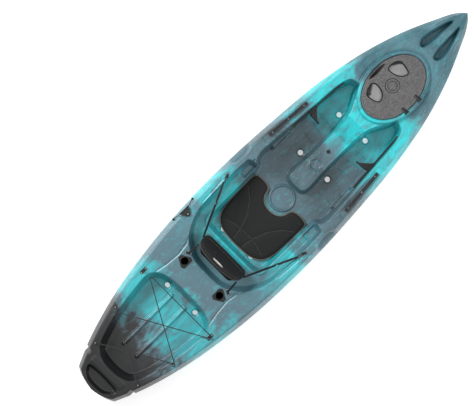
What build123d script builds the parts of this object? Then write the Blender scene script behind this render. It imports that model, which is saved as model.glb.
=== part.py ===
"""Sit-on-top fishing kayak: a hollow moulded hull with its hatch, seat, foot braces, rails, straps and fittings.

Millimetres. +X points to the bow, +Y to port and +Z up. The origin is on the floor under the middle of the hull.
"""

import os
from math import atan2, cos, degrees, pi, radians, sin, sqrt, tan

from build123d import *

os.makedirs("parts", exist_ok=True)

# --- overall sizes -------------------------------------------------------------------------------
hull_length = 3350.0
hull_beam = 826.0
deck_z = 290.0  # flat deck, from the stern to where the bow starts to rise
bow_rise = 88.0  # how much higher the deck is at the bow
rise_from = 900.0
wall = 5.0  # moulded wall
lines_length, lines_beam = 3350.0, 826.0  # the sizes that the plan outlines below are drawn at
slack = 0.3  # gap between pieces that lie beside each other without being fastened
running = 0.05  # radial clearance of a pin or shaft in its hole

# --- wells ---------------------------------------------------------------------------------------
floor_z = 90.0  # cockpit floor
shelf_z = 185.0  # shelf behind the seat, where the backrest stands
tankwell_z = 160.0
console_z = 190.0
scupper_radius = 19.0
scupper_rim, scupper_rim_depth = 5.0, 3.0
bow_recess, stern_recess = 48.0, 45.0
grip_depth = 20.0  # of the bow handle bar
side_pocket = 45.0
rib_width, rib_height = 22.0, 12.0  # ribs along the tankwell
plinth_ring_height = 12.0
ring_outer, ring_inner = 88.0, 74.0
holder_ring, ring_rise = 42.0, 4.0

# --- hatch ---------------------------------------------------------------------------------------
hatch_x = 1023.0
cover_a, cover_b = 237.0, 165.0  # half axes of the cover
cover_gap = 4.0  # between the cover and the coaming
coaming_width = 20.0
coaming_height = 30.0  # above the flat deck
ledge_drop = 16.0  # from the coaming's top down to the ledge that the gasket lies on
ledge_width = 26.0
ledge_under = 24.0  # thickness of the ledge
gasket_height, gasket_width = 6.0, 10.0
badge_radius, badge_height = 45.0, 1.5
latch_spread, latch_offset = 140.0, 79.0  # latch pivots, from the middle of the hatch
latch_reach = 76.0
latch_rest_angle, latch_sweep = 32.0, 100.0
pocket_depth, pan_wall, pocket_margin = 11.0, 3.0, 8.0
lever_width, lever_thickness = 13.0, 6.0
shaft_radius = 6.0
tongue_length, tongue_width, tongue_thickness = 42.0, 14.0, 6.0
hinge_spread = 57.0
hinge_pin_radius = 2.5
hinge_height = 6.0  # hinge axis above the coaming
hinge_arm_width, hinge_ear = 20.0, 5.0
arm_radius = 5.5

# --- rails, braces and holders -------------------------------------------------------------------
track_length, track_width, track_height = 315.0, 24.0, 12.0
track_slot, track_undercut, track_lip, track_base = 9.0, 17.0, 3.0, 3.0
track_pocket_depth, track_pocket_margin = 4.0, 6.0
track_screw_pitch = 130.0
rail_length, rail_height, rail_thickness = 430.0, 28.0, 10.0
rail_standoff, rail_foot = 7.0, 22.0
rail_z = 240.0
pedal_length, pedal_reach, pedal_drop = 62.0, 80.0, 100.0
pedal_plate, pedal_jaw = 7.0, 3.0
pedal_rest = -47.0  # along the rail, from its middle
rod_bore_radius, rod_wall, rod_depth, rod_tilt = 25.0, 3.0, 190.0, 15.0
rod_flange_radius, rod_flange = 33.0, 3.0

# --- seat ----------------------------------------------------------------------------------------
pad_thickness = 30.0
rivet_radius, rivet_height = 4.0, 1.2
backrest_width, backrest_height, backrest_thickness = 350.0, 250.0, 26.0
backrest_lean = 26.0
panel_thickness = 3.0
hinge_rod_radius = 4.0
hinge_rod_lift = 26.0  # hinge axis above the shelf
knuckle_radius, knuckle_length = 8.0, 60.0
bracket_width, bracket_foot = 14.0, 40.0
rear_strap_rise = 170.0
pad_cutout = 105.0
strap_height, strap_thickness = 16.0, 2.0
strap_lift = 1.5  # from the deck to a strap's lower edge

# --- cords and small fittings --------------------------------------------------------------------
cord_radius = 3.0
post_radius, post_height, post_cap = 5.5, 20.0, 3.0
base_thickness = 3.0
screw_radius, screw_head, screw_head_height, screw_length = 2.2, 4.5, 2.4, 12.0
screw_hole = screw_radius + 0.2
eye_wire, eye_radius, eye_spread = 2.5, 11.0, 24.0
eye_lean = 3.6  # how far in the eye's legs have leaned where the snap hook passes
ball_radius = 6.0
anchor_radius, anchor_height = 9.0, 9.0
knob_base, knob_height = 14.0, 14.0
hook_thickness = 5.0
buckle_length, hook_length = 30.0, 24.0
snap_ring, snap_wire = 9.0, 1.6
plug_radius, plug_head, plug_length = 7.0, 11.0, 12.0
button_stem = 9.0

half_length = hull_length / 2
half_beam = hull_beam / 2
coaming_z = deck_z + coaming_height
ledge_z = coaming_z - ledge_drop
cover_z = ledge_z + gasket_height + slack  # underside of the cover
cover_thickness = coaming_z - cover_z
wall_a, wall_b = cover_a + cover_gap, cover_b + cover_gap
hole_a, hole_b = wall_a - ledge_width, wall_b - ledge_width
pivot_z = shelf_z + hinge_rod_lift
UP = Plane.XY


def along(x):
    """A place along the hull, which follows its length."""
    return x * hull_length / lines_length


def across(y):
    """A place across the hull, which follows its beam."""
    return y * hull_beam / lines_beam


def scaled(points):
    return [(along(x), across(y)) for x, y in points]


def both_sides(points):
    """A port outline and its mirror image on the starboard side."""
    return points + [(x, -y) for x, y in reversed(points)]


def deck_height(x):
    """The deck is flat to the hatch and then rises to the bow."""
    start = along(rise_from)
    rise = max(0.0, x - start) / (half_length - start)
    return deck_z + bow_rise * rise**2


def export(part, name):
    part.label = name
    export_step(part, f"parts/{name}.step")


def export_sides(part, name):
    """The port piece and its mirror image."""
    export(part, f"{name}_port")
    with BuildPart() as other:
        mirror(part, about=Plane.XZ)
    export(other.part, f"{name}_starboard")


def slab(points, radius, low, high, grow=0.0):
    """An upright block on a rounded outline, grown on every side but its top."""
    with BuildPart() as block:
        with BuildSketch(UP.offset(low - grow)):
            with BuildLine():
                FilletPolyline(*points, radius=radius, close=True)
            make_face()
            if grow:
                offset(amount=grow)
        extrude(amount=high - low + grow)
    return block.part


# --- places of the fittings ----------------------------------------------------------------------
scuppers = scaled([(325, 122), (672, 118), (-370, 125), (-878, 125)])
rail_direction = Vector(along(435), across(-31)).normalized()
rail_plane = Plane(origin=(along(612.5), across(256.5), rail_z), x_dir=rail_direction, z_dir=(0, 0, 1))
wall_offset = rail_thickness / 2 + rail_standoff  # from the rail's middle to the well's side
track_direction = Vector(along(315), across(-26)).normalized()
track_plane = Plane(
    origin=(along(412.5), across(328), deck_z - track_pocket_depth), x_dir=track_direction, z_dir=(0, 0, 1)
)
rod_lean = radians(rod_tilt)
rod_plane = Plane(origin=(along(-685), across(155), deck_z), x_dir=(0, 1, 0), z_dir=(-sin(rod_lean), 0, cos(rod_lean)))
post_places = {
    "front": scaled([(-912, 297)])[0],
    "middle": scaled([(-1200, 259)])[0],
    "aft": scaled([(-1448, 190)])[0],
}
front_eye = (along(-115), across(345))
rear_eye = (along(-633), across(176))
knob_place = (along(-460), across(350))
plug_place = (along(-1616), across(-116))
console_plug_place = (along(450), 0)
hinge_y = -(wall_b + coaming_width / 2) + 4
hinge_places = [hatch_x - hinge_spread, hatch_x + hinge_spread]
back_x = along(-465)
lean = radians(backrest_lean)
back_plane = Plane(origin=(back_x, 0, pivot_z), x_dir=(0, 1, 0), z_dir=(cos(lean), 0, sin(lean)))
tumble = radians(21.0)  # slope of the hull's side above its widest line
anchor_z = 250.0
anchor_places = scaled([(-550, 387.5), (-372, 394.0)])
anchor_normal = Vector(0, cos(tumble), sin(tumble))


def eye_screws(place, turn):
    """The two screws of a pad eye."""
    x, y = place
    reach = eye_spread / 2 + 6
    dx, dy = reach * cos(radians(turn)), reach * sin(radians(turn))
    return [(x - dx, y - dy), (x + dx, y + dy)]


front_eye_turn, rear_eye_turn = 26.0, 118.0
eye_screw_places = eye_screws(front_eye, front_eye_turn) + eye_screws(rear_eye, rear_eye_turn)
rod_screw_places = [
    (along(-685) + (rod_flange_radius + 7) * cos(radians(a)), across(155) + (rod_flange_radius + 7) * sin(radians(a)))
    for a in (90, 210, 330)
]
track_screw_places = [(track_screw_pitch * i, 0) for i in (-1, 0, 1)]
front_base = 26.0
front_screw_places = [
    (post_places["front"][0] + dx, post_places["front"][1]) for dx in (-front_base / 2 - 5, front_base / 2 + 5)
]

# --- hull lines ----------------------------------------------------------------------------------
# x, half beam, half width at the deck, keel height, height of the widest line
stations = [
    (-1675, 140, 118, 150, 236),
    (-1500, 218, 192, 70, 226),
    (-1200, 310, 282, 18, 216),
    (-800, 379, 350, -4, 212),
    (-250, 413, 383, -6, 212),
    (300, 393, 363, -6, 214),
    (800, 341, 308, -3, 226),
    (1100, 275, 243, 12, 246),
    (1350, 189, 158, 45, 274),
    (1500, 120, 92, 92, 300),
    (1620, 58, 38, 175, 325),
    (1675, 16, 10, 255, 345),
]
section_top = 30.0  # the sections run this far above the deck before it is cut
stern_line = [(-1560, -200), (-1620, -158), (-1655, -122), (-1672, -70), (-1675, 0)]


def hull_body(inset):
    """The hull's outer form, or the form inside its wall, below the deck."""
    lofted = stations if inset == 0 else stations[:-1]
    with BuildPart() as body:
        for x, half, deck_half, keel, beam_z in lofted:
            x_at = along(x) + (inset if x == stations[0][0] else 0)
            top_z = deck_height(x_at) + section_top
            slope = (half - deck_half) / (deck_height(x_at) - beam_z)
            b = across(half) - inset
            top = b - slope * (top_z - beam_z)
            low = keel + inset
            with BuildSketch(Plane(origin=(x_at, 0, 0), x_dir=(0, 1, 0), z_dir=(1, 0, 0))):
                with BuildLine():
                    side = [
                        (0, low),
                        (0.62 * b, low + 0.06 * (beam_z - low)),
                        (0.93 * b, low + 0.36 * (beam_z - low)),
                        (b, beam_z),
                    ]
                    port = Spline(*side, tangents=((1, 0), (0, 1)))
                    starboard = Spline(*[(-y, z) for y, z in side], tangents=((-1, 0), (0, 1)))
                    Polyline(port @ 1, (top, top_z), (-top, top_z), starboard @ 1)
                make_face()
        loft()
        # everything above the deck goes
        start = along(rise_from)
        steps = [start + (half_length - start) * i / 6 for i in range(7)]
        with BuildSketch(Plane.XZ):
            with BuildLine():
                flat = Line((-half_length - 50, deck_z - inset), (start, deck_z - inset))
                bow = Spline(
                    *[(x, deck_height(x) - inset) for x in steps],
                    tangents=((1, 0), (1, 2 * bow_rise / (half_length - start))),
                )
                Polyline(bow @ 1, (half_length + 50, 600), (-half_length - 50, 600), flat @ 0)
            make_face()
        extrude(amount=hull_beam, both=True, mode=Mode.SUBTRACT)
        # the bottom is flat where the hull stands
        with BuildSketch(UP.offset(inset - 60)):
            Rectangle(hull_length * 2, hull_beam * 2)
        extrude(amount=60, mode=Mode.SUBTRACT)
        # round stern
        starboard = [(x + inset, y * (1 - inset / 160)) for x, y in scaled(stern_line)]
        port = [(x, -y) for x, y in reversed(starboard[:-1])]
        with BuildSketch(UP):
            with BuildLine():
                curve = Spline(*starboard, *port)
                Polyline(
                    curve @ 1,
                    (along(-1400), hull_beam),
                    (half_length + 60, hull_beam),
                    (half_length + 60, -hull_beam),
                    (along(-1400), -hull_beam),
                    curve @ 0,
                )
            make_face()
        extrude(amount=600, mode=Mode.INTERSECT)
    return body.part


# --- wells in the hull ---------------------------------------------------------------------------
top = deck_z + 140  # the wells are cut from here down


def rail_wall(x):
    """A point of the footwell's side, at x along the rail from its middle."""
    point = rail_plane.from_local_coords((x, wall_offset))
    return (point.X, point.Y)


pan = scaled([(-425, 165), (-378, 245), (62, 248), (105, 304), (215, 296)])
footwell = pan + [rail_wall(-245), rail_wall(238)] + scaled([(893, 185)])
shelf = scaled([(-638, 100), (-606, 176), (-552, 250), (-440, 308), (-345, 326), (0, 326), (84, 318)])
console_line = scaled([(145, 42), (185, 79), (450, 67), (700, 75), (850, 158), (990, 178)])
tankwell = scaled(
    [(-822, 130), (-846, 212), (-905, 266), (-1180, 236), (-1425, 172), (-1496, 100)]
)
bow_port = scaled([(1335, 30), (1325, 70), (1360, 92), (1440, 84), (1560, 44), (1580, 27), (1560, 24)])
stern_pocket = scaled([(-1562, 118), (-1592, 122), (-1634, 84), (-1648, 40)])
side_pocket_line = scaled([(-45, 362), (130, 356), (130, 430), (-45, 430)])


def console(shrink):
    """The raised middle between the footwells, which runs up to the hatch."""
    with BuildPart() as raised:
        with BuildSketch(UP):
            with BuildLine():
                FilletPolyline(*both_sides(console_line), radius=22, close=True)
            make_face()
            if shrink:
                offset(amount=-shrink)
        extrude(amount=top)
        with BuildSketch(Plane.XZ):
            Polygon(
                (along(0), -10),
                (along(1100), -10),
                (along(1100), top),
                (along(790), top),
                (along(700), deck_z - shrink),
                (along(560), console_z - shrink),
                (along(0), console_z - shrink),
                align=None,
            )
        extrude(amount=hull_beam, both=True, mode=Mode.INTERSECT)
    return raised.part


def wells(grow):
    """Everything that is sunk into the deck, or the same grown by the wall."""
    with BuildPart() as sunk:
        add(slab(both_sides(footwell), 24, floor_z, top, grow))
        add(console(grow), mode=Mode.SUBTRACT)
        add(slab(both_sides(shelf), 22, shelf_z, top, grow))
        add(slab(both_sides(tankwell), 30, tankwell_z, top, grow))
        add(slab(both_sides(stern_pocket), 16, deck_z - stern_recess, top, grow))
        bow_floor = deck_height(along(1325)) - bow_recess
        add(slab(bow_port, 4, bow_floor, top, grow))
        add(slab([(x, -y) for x, y in bow_port], 4, bow_floor, top, grow))
        for side in (1, -1):
            add(slab([(x, side * y) for x, y in side_pocket_line], 12, deck_z - side_pocket, top, grow))
    return sunk.part


# --- cutting tools that the hull and the fittings share ------------------------------------------
def upright(radius, low, high, places):
    """Round cylinders standing at the places."""
    with BuildPart() as posts:
        with Locations(*[(x, y, low) for x, y in places]):
            Cylinder(radius, high - low, align=(Align.CENTER, Align.CENTER, Align.MIN))
    return posts.part


def port_and_starboard(places):
    return places + [(x, -y) for x, y in places]


def screws(plane, places, seat, radius=screw_radius):
    """Screws that go down into the plane's back, with their heads on a seat above it."""
    with BuildPart() as group:
        with BuildSketch(plane.offset(seat - screw_length)):
            with Locations(*places):
                Circle(radius)
        extrude(amount=screw_length)
        with BuildSketch(plane.offset(seat)):
            with Locations(*places):
                Circle(screw_head)
        extrude(amount=screw_head_height)
    return group.part


def screw_holes(plane, places):
    """Holes for those screws through the hull's wall."""
    with BuildPart() as holes:
        with BuildSketch(plane.offset(-3 * screw_length)):
            with Locations(*places):
                Circle(screw_hole)
        extrude(amount=4 * screw_length)
    return holes.part


def both(part):
    """The port piece together with its mirror image."""
    with BuildPart() as pair:
        add(part)
        mirror(part, about=Plane.XZ)
    return pair.part


deck_plane = UP.offset(deck_z)
rail_side_plane = Plane(origin=rail_plane.from_local_coords((0, 0, 0)), x_dir=rail_direction, z_dir=-rail_plane.y_dir)
rail_screw_places = [(side * (rail_length - rail_foot) / 2, 0) for side in (-1, 1)]
anchor_planes = [
    Plane(origin=(x, y, anchor_z), x_dir=(1, 0, 0), z_dir=tuple(anchor_normal)) for x, y in anchor_places
]
deck_screws = rod_screw_places + eye_screw_places + front_screw_places + [knob_place]
post_screws = [post_places["middle"], post_places["aft"]]

# --- hull ----------------------------------------------------------------------------------------
grip_tunnel_height = bow_recess - grip_depth
grip_tunnel_z = deck_height(along(1430)) - (grip_depth + bow_recess) / 2 - 4
with BuildPart() as hollow:
    add(hull_body(wall))
    add(wells(wall), mode=Mode.SUBTRACT)
    with BuildSketch(UP.offset(ledge_z - ledge_under)):
        with Locations((hatch_x, 0)):
            Ellipse(wall_a + coaming_width, wall_b + coaming_width)
            Ellipse(hole_a, hole_b, mode=Mode.SUBTRACT)
    extrude(amount=200, mode=Mode.SUBTRACT)
    add(
        upright(scupper_radius + scupper_rim + wall, 0, deck_z, port_and_starboard(scuppers)), mode=Mode.SUBTRACT
    )

with BuildPart() as hull:
    add(hull_body(0))
    # coaming round the hatch
    with BuildSketch(UP.offset(ledge_z - ledge_under)):
        with Locations((hatch_x, 0)):
            Ellipse(wall_a + coaming_width, wall_b + coaming_width)
    extrude(amount=coaming_z - ledge_z + ledge_under)
    add(wells(0), mode=Mode.SUBTRACT)
    with BuildSketch(UP.offset(ledge_z)):
        with Locations((hatch_x, 0)):
            Ellipse(wall_a, wall_b)
    extrude(amount=120, mode=Mode.SUBTRACT)
    with BuildSketch(UP.offset(ledge_z - ledge_under - 20)):
        with Locations((hatch_x, 0)):
            Ellipse(hole_a, hole_b)
    extrude(amount=200, mode=Mode.SUBTRACT)
    add(hollow.part, mode=Mode.SUBTRACT)
    # round ribs in the tankwell, and moulded rings in front of the seat and on the console
    with BuildSketch(UP.offset(tankwell_z)):
        for side in (-1, 1):
            with Locations((along(-1118), side * across(58))):
                SlotOverall(along(455), rib_width)
    extrude(amount=rib_height)
    with BuildSketch(UP.offset(floor_z)):
        with Locations((along(35), 0)):
            Circle(ring_outer)
            Circle(ring_inner, mode=Mode.SUBTRACT)
    extrude(amount=plinth_ring_height)
    with BuildSketch(UP.offset(console_z)):
        with Locations((along(335), 0)):
            Circle(holder_ring)
            Circle(holder_ring - rib_height / 2, mode=Mode.SUBTRACT)
    extrude(amount=ring_rise)
    # the bow carrying handle
    with BuildSketch(Plane.XZ.offset(-across(32))):
        with Locations((along(1430), grip_tunnel_z)):
            RectangleRounded(90, grip_tunnel_height, 10)
    extrude(amount=across(64), mode=Mode.SUBTRACT)
    # scuppers
    add(upright(scupper_radius, -10, deck_z, port_and_starboard(scuppers)), mode=Mode.SUBTRACT)
    add(
        upright(scupper_radius + scupper_rim, floor_z - scupper_rim_depth, floor_z + 1, port_and_starboard(scuppers[:3])),
        mode=Mode.SUBTRACT,
    )
    # pockets, holes and screw holes for the fittings
    with BuildSketch(track_plane):
        RectangleRounded(
            track_length + 2 * track_pocket_margin, track_width + 2 * track_pocket_margin, track_pocket_margin
        )
    track_pocket = extrude(amount=3 * track_pocket_depth, mode=Mode.PRIVATE)
    add(both(track_pocket), mode=Mode.SUBTRACT)
    with BuildSketch(rod_plane):
        Circle(rod_bore_radius + rod_wall + slack)
    rod_hole = extrude(amount=rod_depth / 2, both=True, mode=Mode.PRIVATE)
    add(both(rod_hole), mode=Mode.SUBTRACT)
    add(upright(plug_radius + running, deck_z - 30, deck_z + 30, [plug_place]), mode=Mode.SUBTRACT)
    add(upright(button_stem + running, console_z - 30, console_z + 30, [console_plug_place]), mode=Mode.SUBTRACT)
    add(screw_holes(deck_plane, port_and_starboard(deck_screws + post_screws)), mode=Mode.SUBTRACT)
    add(both(screw_holes(track_plane, track_screw_places)), mode=Mode.SUBTRACT)
    add(both(screw_holes(rail_side_plane.offset(-wall_offset), rail_screw_places)), mode=Mode.SUBTRACT)
    for plane in anchor_planes:
        with BuildSketch(plane):
            Circle(anchor_radius + 1)
        extrude(amount=15, mode=Mode.SUBTRACT)

# --- the hull in sections ------------------------------------------------------------------------
# The hull is one moulding. It is cut here into sections that meet face to face, each of them nearly convex, so
# that collision stays open in its wells, in the hatch and round the rod holders.


def sections(solids, planes):
    """Solids cut by parallel planes, which are given in order."""
    if not planes:
        return solids
    middle = len(planes) // 2
    plane = planes[middle]
    behind, ahead = [], []
    for solid in solids:
        box = solid.bounding_box()
        ends = [plane.to_local_coords(corner).Z for corner in (box.min, box.max)]
        crossed = plane.z_dir.Z == 0 and plane.z_dir.Y != 0 or min(ends) < 0 < max(ends)
        pieces = split(solid, bisect_by=plane, keep=Keep.BOTH).solids() if crossed else [solid]
        for piece in pieces:
            place = plane.to_local_coords(piece.bounding_box().center())
            (ahead if place.Z > 0 else behind).append(piece)
    return sections(behind, planes[:middle]) + sections(ahead, planes[middle + 1 :])


def crossways(places):
    return [Plane((along(x), 0, 0), z_dir=(1, 0, 0)) for x in places]


def levels(heights):
    return [UP.offset(z) for z in heights]


def between(solids, start, end):
    """What lies between two places along the hull."""
    return [s for s in solids if along(start) < s.bounding_box().center().X < along(end)]


def hatch_column(spread):
    """An upright column on the coaming's outline, from under its ledge."""
    with BuildPart() as column:
        with BuildSketch(UP.offset(ledge_z - ledge_under - 1)):
            with Locations((hatch_x, 0)):
                Ellipse(wall_a + spread, wall_b + spread)
        extrude(amount=3 * coaming_height)
    return column.part


over_floor, over_shelf, under_deck = floor_z + 1, shelf_z + 1, deck_z - wall - 1
over_pockets = deck_z - side_pocket + 1
over_bow_floor = deck_height(along(1325)) - bow_recess + 1
tunnel_levels = [grip_tunnel_z - grip_tunnel_height / 2, grip_tunnel_z + grip_tunnel_height / 2]
# node, from, to, top of the base, cuts through the base, cuts above it, levels above it; in the bow, the levels
# cut only the middle, where the carrying handle is
hull_sections = [
    ("hull_stern", -1700, -1500, over_pockets, [], [-1640, -1571], []),
    ("hull_tankwell", -1500, -815, tankwell_z + 1, [], [-1478, -1425, -905, -860], []),
    ("hull_rear_deck", -815, -640, over_floor, [], [], [under_deck]),
    ("hull_seat_bay", -640, -37, over_floor, [], [-622, -552, -440, -400, -365], [over_shelf]),
    ("hull_handle_bay", -37, 122, over_floor, [], [], [over_shelf, over_pockets]),
    ("hull_footwells", 122, 762, over_floor, [], [215, 560, 700], [over_shelf]),
    ("hull_hatch_bay", 762, 1284, over_floor, [], [850, 900, 1160], [under_deck]),
    ("hull_bow", 1284, 1385, over_bow_floor, [], [1335], []),
    ("hull_bow", 1385, 1475, over_bow_floor, [], [], tunnel_levels),
    ("hull_bow", 1475, 1700, over_bow_floor, [], [1585], []),
]
cuts = {name: [] for name, *_ in hull_sections}
starts = [start for _, start, *_ in hull_sections[1:]]
lengths = sections((hull.part - hatch_column(coaming_width + 2 + slack)).solids(), crossways(starts))
for name, start, end, base_top, base_cuts, upper_cuts, upper_levels in hull_sections:
    split_level = sections(between(lengths, start, end), levels([base_top]))
    base = [s for s in split_level if s.bounding_box().center().Z < base_top]
    upper = [s for s in split_level if s.bounding_box().center().Z > base_top]
    cuts[name] += sections(base, crossways(base_cuts))
    for piece in sections(upper, crossways(upper_cuts)):
        beside = name == "hull_bow" and abs(piece.bounding_box().center().Y) > across(40)
        cuts[name] += [piece] if beside else sections([piece], levels(upper_levels))
ring = hull.part & hatch_column(coaming_width + 2)
cuts["hull_coaming"] = (ring & hatch_column(0)).solids() + (ring - hatch_column(0)).solids()
for turn in (22.5, 67.5, 112.5, 157.5):
    spoke = Plane((hatch_x, 0, 0), z_dir=(cos(radians(turn)), sin(radians(turn)), 0))
    cuts["hull_coaming"] = sections(cuts["hull_coaming"], [spoke])
for name, solids in cuts.items():
    export(Compound(children=solids), name)

# --- hatch ---------------------------------------------------------------------------------------
with BuildPart() as gasket:
    with BuildSketch(UP.offset(ledge_z)):
        with Locations((hatch_x, 0)):
            Ellipse(wall_a - cover_gap, wall_b - cover_gap)
            Ellipse(wall_a - cover_gap - gasket_width, wall_b - cover_gap - gasket_width, mode=Mode.SUBTRACT)
    extrude(amount=gasket_height)
export(gasket.part, "hatch_gasket")


def pocket_sketch(end, grow):
    """The round-ended sector that a latch lever sweeps, at the aft (-1) or forward (1) end of the cover."""
    reach = latch_reach + pocket_margin + grow
    low, high = latch_rest_angle - latch_sweep, latch_rest_angle
    spread = degrees(atan2(lever_width / 2 + pocket_margin / 2, latch_reach))
    start, middle, stop = low - spread, (low + high) / 2, high + spread
    points = [
        (hatch_x + end * (latch_spread - reach * cos(radians(a))), latch_offset + reach * sin(radians(a)))
        for a in (start, middle, stop)
    ]
    pivot = (hatch_x + end * latch_spread, latch_offset)
    with BuildSketch(UP) as sector:
        with BuildLine():
            ThreePointArc(*points)
            Polyline(points[2], pivot, points[0])
        make_face()
        with Locations(pivot):
            Circle(lever_width + grow)
        length = reach + lever_width / 2
        for a in (low, high):
            x = pivot[0] - end * (length / 2 - lever_width / 2) * cos(radians(a))
            y = pivot[1] + (length / 2 - lever_width / 2) * sin(radians(a))
            with Locations(Location((x, y, 0), (0, 0, -end * a))):
                SlotOverall(length, lever_width + pocket_margin + 2 * grow)
    return sector.sketch


with BuildPart() as cover:
    with BuildSketch(UP.offset(cover_z)):
        with Locations((hatch_x, 0)):
            Ellipse(cover_a, cover_b)
    extrude(amount=cover_thickness)
    with BuildSketch(UP.offset(coaming_z)):
        with Locations((hatch_x, 0)):
            Circle(badge_radius)
    extrude(amount=badge_height)
    for end in (-1, 1):
        pan_floor = coaming_z - pocket_depth
        add(extrude(Plane(origin=(0, 0, pan_floor - pan_wall)) * pocket_sketch(end, pan_wall), pocket_depth))
    for end in (-1, 1):
        add(extrude(Plane(origin=(0, 0, pan_floor)) * pocket_sketch(end, 0), 3 * pocket_depth), mode=Mode.SUBTRACT)
    add(
        upright(
            shaft_radius + running, 0, 2 * deck_z, [(hatch_x + end * latch_spread, latch_offset) for end in (-1, 1)]
        ),
        mode=Mode.SUBTRACT,
    )
    # hinge arms over the coaming
    hinge_z = coaming_z + hinge_height
    for x in hinge_places:
        with BuildSketch(Plane.YZ.offset(x - hinge_arm_width / 2)):
            with BuildLine():
                Polyline(
                    (hinge_y, hinge_z + arm_radius),
                    (hinge_y, coaming_z + slack),
                    (-cover_b + 14, coaming_z + slack),
                    (-cover_b + 14, coaming_z - 2),
                    (-cover_b + 36, coaming_z - 2),
                    (-cover_b + 36, coaming_z + 3),
                    (-cover_b + 16, hinge_z + arm_radius),
                    close=True,
                )
            make_face()
            with Locations((hinge_y, hinge_z)):
                Circle(arm_radius)
        extrude(amount=hinge_arm_width)
        with BuildSketch(Plane.YZ.offset(x - hinge_arm_width)):
            with Locations((hinge_y, hinge_z)):
                Circle(hinge_pin_radius + running)
        extrude(amount=2 * hinge_arm_width, mode=Mode.SUBTRACT)
export(cover.part, "hatch_cover")

with BuildPart() as lugs:
    for x in hinge_places:
        for side in (-1, 1):
            near = x + side * (hinge_arm_width / 2 + slack + hinge_ear / 2) - hinge_ear / 2
            with BuildSketch(Plane.YZ.offset(near)):
                with Locations((hinge_y, hinge_z)):
                    Circle(arm_radius + 0.5)
                with Locations((hinge_y, (coaming_z + hinge_z) / 2)):
                    Rectangle(2 * arm_radius + 1, hinge_height)
                with Locations((hinge_y, hinge_z)):
                    Circle(hinge_pin_radius, mode=Mode.SUBTRACT)
            extrude(amount=hinge_ear)
export(lugs.part, "hatch_hinge_lugs")

with BuildPart() as pins:
    pin_length = hinge_arm_width + 2 * (slack + hinge_ear)
    for x in hinge_places:
        with BuildSketch(Plane.YZ.offset(x - pin_length / 2)):
            with Locations((hinge_y, hinge_z)):
                Circle(hinge_pin_radius)
        extrude(amount=pin_length)
export(pins.part, "hatch_hinge_pins")

tongue_top = ledge_z - ledge_under - 0.6
for end, side_name in ((-1, "aft"), (1, "forward")):
    pivot = (hatch_x + end * latch_spread, latch_offset)
    lever_direction = radians(latch_rest_angle if end < 0 else 180 - latch_rest_angle)
    engaged = atan2(latch_offset, end * latch_spread)
    tongue_direction = engaged - end * radians(latch_sweep)
    lever_plane = Plane(
        origin=(*pivot, coaming_z - pocket_depth + 0.5),
        x_dir=(cos(lever_direction), sin(lever_direction), 0),
        z_dir=(0, 0, 1),
    )
    with BuildPart() as lever:
        with BuildSketch(lever_plane):
            Circle(lever_width * 0.8)
            with Locations((latch_reach / 2, 0)):
                RectangleRounded(latch_reach + lever_width * 0.6, lever_width, lever_width * 0.45)
        extrude(amount=lever_thickness)
        with BuildSketch(lever_plane.offset(lever_thickness)):
            with Locations((latch_reach - 2, 0)):
                Circle(lever_width * 0.35)
        extrude(amount=3)
        with BuildSketch(lever_plane.offset(-1)):
            Circle(shaft_radius + running)
        extrude(amount=lever_thickness + 3, mode=Mode.SUBTRACT)
    export(lever.part, f"{side_name}_latch_lever")
    tongue_plane = Plane(
        origin=(*pivot, tongue_top - tongue_thickness),
        x_dir=(cos(tongue_direction), sin(tongue_direction), 0),
        z_dir=(0, 0, 1),
    )
    with BuildPart() as cam:
        with BuildSketch(tongue_plane):
            Circle(tongue_width * 0.6)
            with Locations((tongue_length / 2, 0)):
                RectangleRounded(tongue_length, tongue_width, tongue_width * 0.4)
        extrude(amount=tongue_thickness)
        with BuildSketch(tongue_plane):
            Circle(shaft_radius)
        extrude(amount=coaming_z - pocket_depth + 0.5 + lever_thickness - tongue_plane.origin.Z)
    export(cam.part, f"{side_name}_latch_cam")

# --- gear tracks ---------------------------------------------------------------------------------
with BuildPart() as track:
    with BuildSketch(Plane(origin=track_plane.origin, x_dir=track_plane.y_dir, z_dir=track_plane.x_dir)):
        with Locations((0, track_height / 2)):
            Rectangle(track_width, track_height)
        with Locations((0, (track_base + track_height - track_lip) / 2)):
            Rectangle(track_undercut, track_height - track_lip - track_base, mode=Mode.SUBTRACT)
        with Locations((0, track_height)):
            Rectangle(track_slot, 3 * track_lip, mode=Mode.SUBTRACT)
    extrude(amount=track_length / 2, both=True)
    add(screw_holes(track_plane, track_screw_places), mode=Mode.SUBTRACT)
export_sides(track.part, "gear_track")
export(both(screws(track_plane, track_screw_places, track_base)), "gear_track_screws")

# --- foot braces ---------------------------------------------------------------------------------
with BuildPart() as rail:
    with BuildSketch(rail_plane.offset(-rail_height / 2)):
        Rectangle(rail_length, rail_thickness)
        for side in (-1, 1):
            with Locations((side * (rail_length - rail_foot) / 2, wall_offset / 2)):
                Rectangle(rail_foot, wall_offset)
    extrude(amount=rail_height)
    with BuildSketch(rail_side_plane.offset(-2 * wall_offset)):
        with Locations(*rail_screw_places):
            Circle(screw_hole)
    extrude(amount=4 * wall_offset, mode=Mode.SUBTRACT)
export_sides(rail.part, "foot_rail")
rail_screws = screws(rail_side_plane, rail_screw_places, rail_thickness / 2, screw_radius)
with BuildPart() as long_screws:
    add(rail_screws)
    with BuildSketch(rail_side_plane.offset(-wall_offset - wall - 6)):
        with Locations(*rail_screw_places):
            Circle(screw_radius)
    extrude(amount=wall_offset + wall + 6)
export(both(long_screws.part), "foot_rail_screws")

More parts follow.
